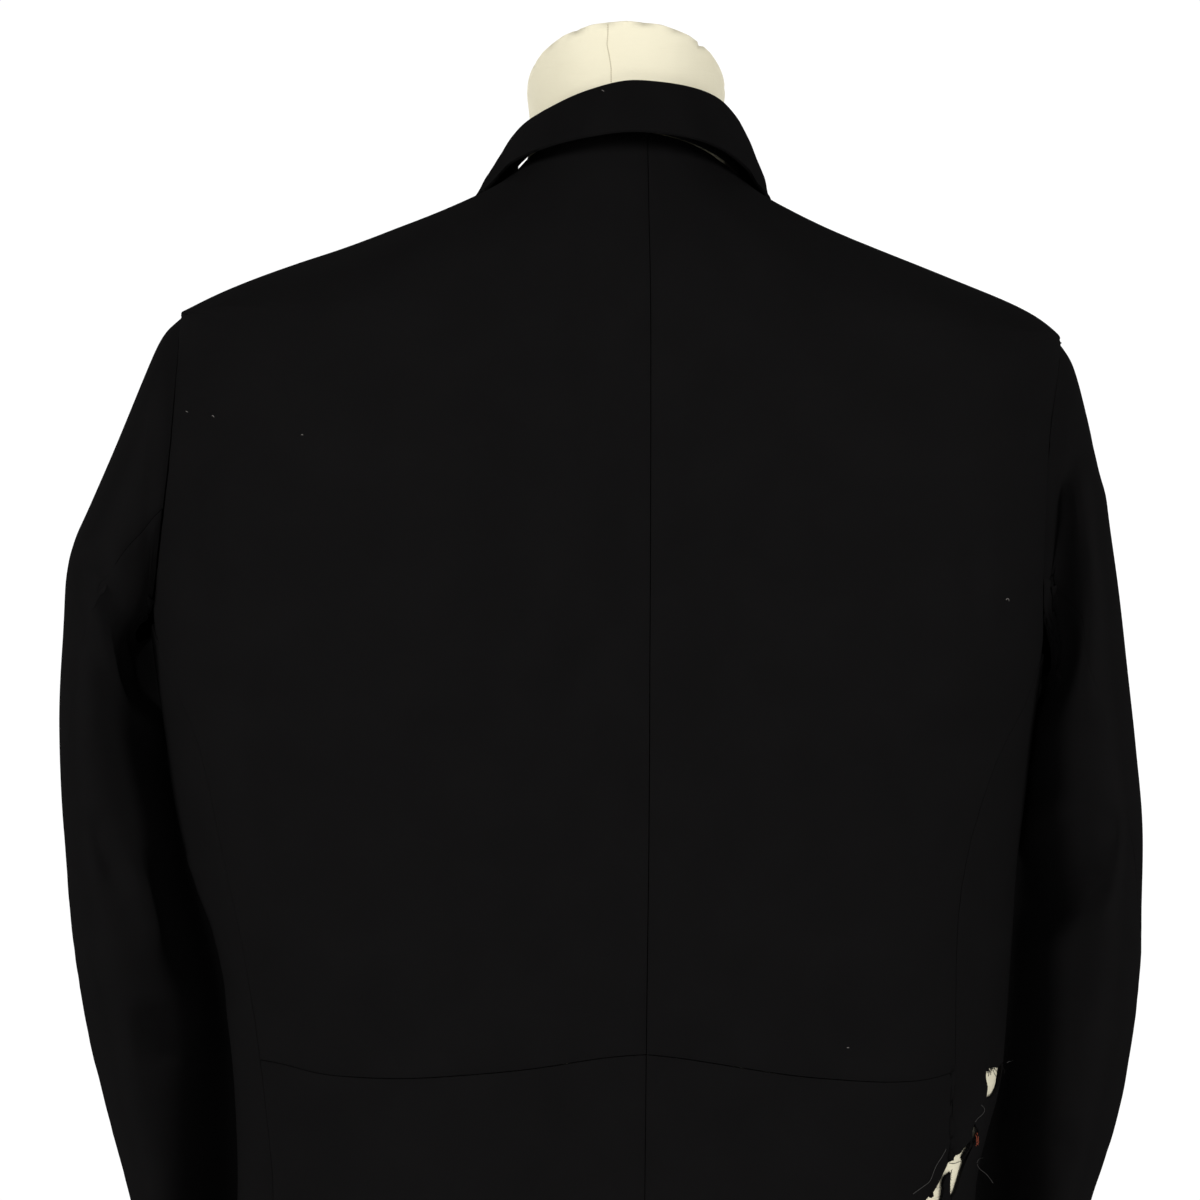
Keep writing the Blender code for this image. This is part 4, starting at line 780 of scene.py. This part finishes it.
RED_WISP = (
    ((975, 1134), (977, 1137), (976, 1141), (978, 1145)),
    ((977, 1133), (979, 1137), (977, 1141), (976, 1146)),
    ((976, 1136), (978, 1139), (979, 1143), (977, 1144)),
)
LINT = (
    ((186, 411), (187, 412), (188, 412)),
    ((212, 416), (213, 415), (214, 417)),
    ((301, 435), (302, 434), (303, 435)),
    ((847, 1048), (848, 1047), (849, 1048)),
    ((1006, 600), (1007, 598), (1009, 599), (1009, 601)),
    ((602, 90), (603, 91), (604, 91)),
)
grey_yarn = plain_material("grey yarn", (0.030, 0.029, 0.028), (0.055, 0.052, 0.048), 0.95, 700.0)
red_yarn = plain_material("red-orange yarn", (0.20, 0.030, 0.012), (0.32, 0.060, 0.020), 0.9, 700.0)
pale_lint = plain_material("pale lint", (0.16, 0.15, 0.14), (0.26, 0.24, 0.22), 0.95, 700.0)
yarn("loose_black_yarn", [seen_at(line) for line in LOOSE_BLACK], LOOSE_RADIUS, black_yarn, "wool")
yarn("loose_grey_yarn", [seen_at(line) for line in LOOSE_GREY], LOOSE_RADIUS, grey_yarn, "wool")
yarn("red_wisp", [seen_at(line) for line in RED_WISP], LOOSE_RADIUS * 1.5, red_yarn, "wool")
yarn("lint", [seen_at(line, 0.0002) for line in LINT], 0.00014, pale_lint, "wool")

# ---------------------------------------------------------------- buttons and buttonholes
# Turned black four-hole buttons, sewn on with crossed black thread. Each comes through a
# worked buttonhole that runs on towards the wearer's left.
HORN, HORN_WORN = (0.010, 0.009, 0.008), (0.024, 0.021, 0.018)
THREAD_OFF, THREAD_RADIUS = 0.0024, 0.00035
HOLE_LONG, HOLE_HIGH, HOLE_STITCH = 0.022, 0.0016, 0.0011

horn = plain_material("black horn", HORN, HORN_WORN, 0.35, 120.0)
button_thread = plain_material("black thread", (0.008, 0.008, 0.008), (0.014, 0.014, 0.014), 0.8, 900.0)
crosses, bars = [], []
front_cloth = surface(panels["front_left"])
for node in ("button_1", "button_2"):
    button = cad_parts[node]
    button.data.materials.clear()
    button.data.materials.append(horn)
    low, high = (Vector(corner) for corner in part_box(node))
    centre, face_tree = (low + high) / 2, surface(button)
    for turn in (45, 135):
        off = Vector((math.cos(math.radians(turn)), 0, math.sin(math.radians(turn)))) * THREAD_OFF
        start = Vector((centre.x, low.y - 0.01, centre.z))
        top, _ = first_hit(face_tree, start, Vector((0, 1, 0)))
        over = Vector((0, -THREAD_RADIUS, 0))
        deep = Vector((0, 0.0012, 0))
        crosses.append([top - off + deep, top - off + over, top + over * 2, top + off + over,
                        top + off + deep])
    count = round(HOLE_LONG / HOLE_STITCH)
    for n in range(count):
        for side in (1, -1):
            ends = []
            for z in (0.0003, HOLE_HIGH):
                x = centre.x - 0.002 + n * HOLE_STITCH
                start = Vector((x, low.y - 0.02, centre.z + side * z))
                place, normal = first_hit(front_cloth, start, Vector((0, 1, 0)))
                if place is not None:
                    ends.append(place + normal * 0.0002)
            if len(ends) == 2:
                bars.append([ends[0], (ends[0] + ends[1]) / 2, ends[1]])
yarn("button_thread", crosses, THREAD_RADIUS, button_thread, "wool")
yarn("buttonhole_stitches", bars, 0.00035, button_thread, "wool")

# ---------------------------------------------------------------- stand
# A round steel base and its column, both powder coated dark grey with a fine orange-peel grain.
COAT, COAT_WORN = (0.040, 0.040, 0.043), (0.058, 0.058, 0.060)

powder_coat = plain_material("powder coat", COAT, COAT_WORN, 0.55, 900.0)
for node in ("stand_column", "stand_base"):
    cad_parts[node].data.materials.clear()
    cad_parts[node].data.materials.append(powder_coat)

# ---------------------------------------------------------------- floor, light and camera
# A pale floor and a white room. Two wide soft lamps stand behind to the sides, so that the hollows
# between body and sleeves stay dark, and two more light the fronts.
FLOOR_RADIUS = 2.0
ROOM_SEEN, ROOM_LIGHT = 1.05, 0.18

floor_mesh = bpy.data.meshes.new("floor")
bm = bmesh.new()
bmesh.ops.create_circle(bm, cap_ends=True, segments=96, radius=FLOOR_RADIUS)
bm.to_mesh(floor_mesh)
bm.free()
floor = bpy.data.objects.new("floor", floor_mesh)
bpy.context.scene.collection.objects.link(floor)
floor_mesh.materials.append(
    plain_material("pale floor", (0.80, 0.80, 0.80), (0.86, 0.86, 0.86), 0.7, 3.0)
)

world = bpy.data.worlds.new("studio")
bpy.context.scene.world = world
world.use_nodes = True
backdrop = world.node_tree.nodes["Background"]
backdrop.inputs["Color"].default_value = (1, 1, 1, 1)
path = world.node_tree.nodes.new("ShaderNodeLightPath")
level = world.node_tree.nodes.new("ShaderNodeMapRange")
level.inputs["To Min"].default_value = ROOM_LIGHT
level.inputs["To Max"].default_value = ROOM_SEEN
world.node_tree.links.new(path.outputs["Is Camera Ray"], level.inputs["Value"])
world.node_tree.links.new(level.outputs["Result"], backdrop.inputs["Strength"])


def lamp(name, place, target, size, power):
    data = bpy.data.lights.new(name, "AREA")
    data.shape = "DISK"
    data.size = size
    data.energy = power
    made = bpy.data.objects.new(name, data)
    bpy.context.scene.collection.objects.link(made)
    made.location = place
    made.rotation_euler = (Vector(place) - Vector(target)).to_track_quat("Z", "Y").to_euler()


lamp("lamp_back_left", (2.3, 2.0, 1.3), (0.0, 0.0, 0.55), 1.0, 58)
lamp("lamp_back_right", (-2.3, 2.0, 1.3), (0.0, 0.0, 0.55), 1.0, 52)
lamp("lamp_back", (0.3, 3.2, 1.5), (0.0, 0.0, 0.55), 0.8, 14)
lamp("lamp_front_left", (1.3, -2.6, 1.6), (0.0, 0.0, 0.5), 1.2, 45)
lamp("lamp_front_right", (-1.3, -2.6, 1.6), (0.0, 0.0, 0.5), 1.2, 35)

camera_data = bpy.data.cameras.new("camera")
camera_data.sensor_width = 36.0
camera_data.lens = camera_data.sensor_width * CAMERA_Y / SEEN_WIDTH
camera = bpy.data.objects.new("camera", camera_data)
bpy.context.scene.collection.objects.link(camera)
camera.location = (CAMERA_X, CAMERA_Y, CAMERA_Z)
camera.rotation_euler = (math.radians(90), 0.0, math.radians(180))
bpy.context.scene.camera = camera
bpy.context.scene.view_settings.view_transform = "Standard"
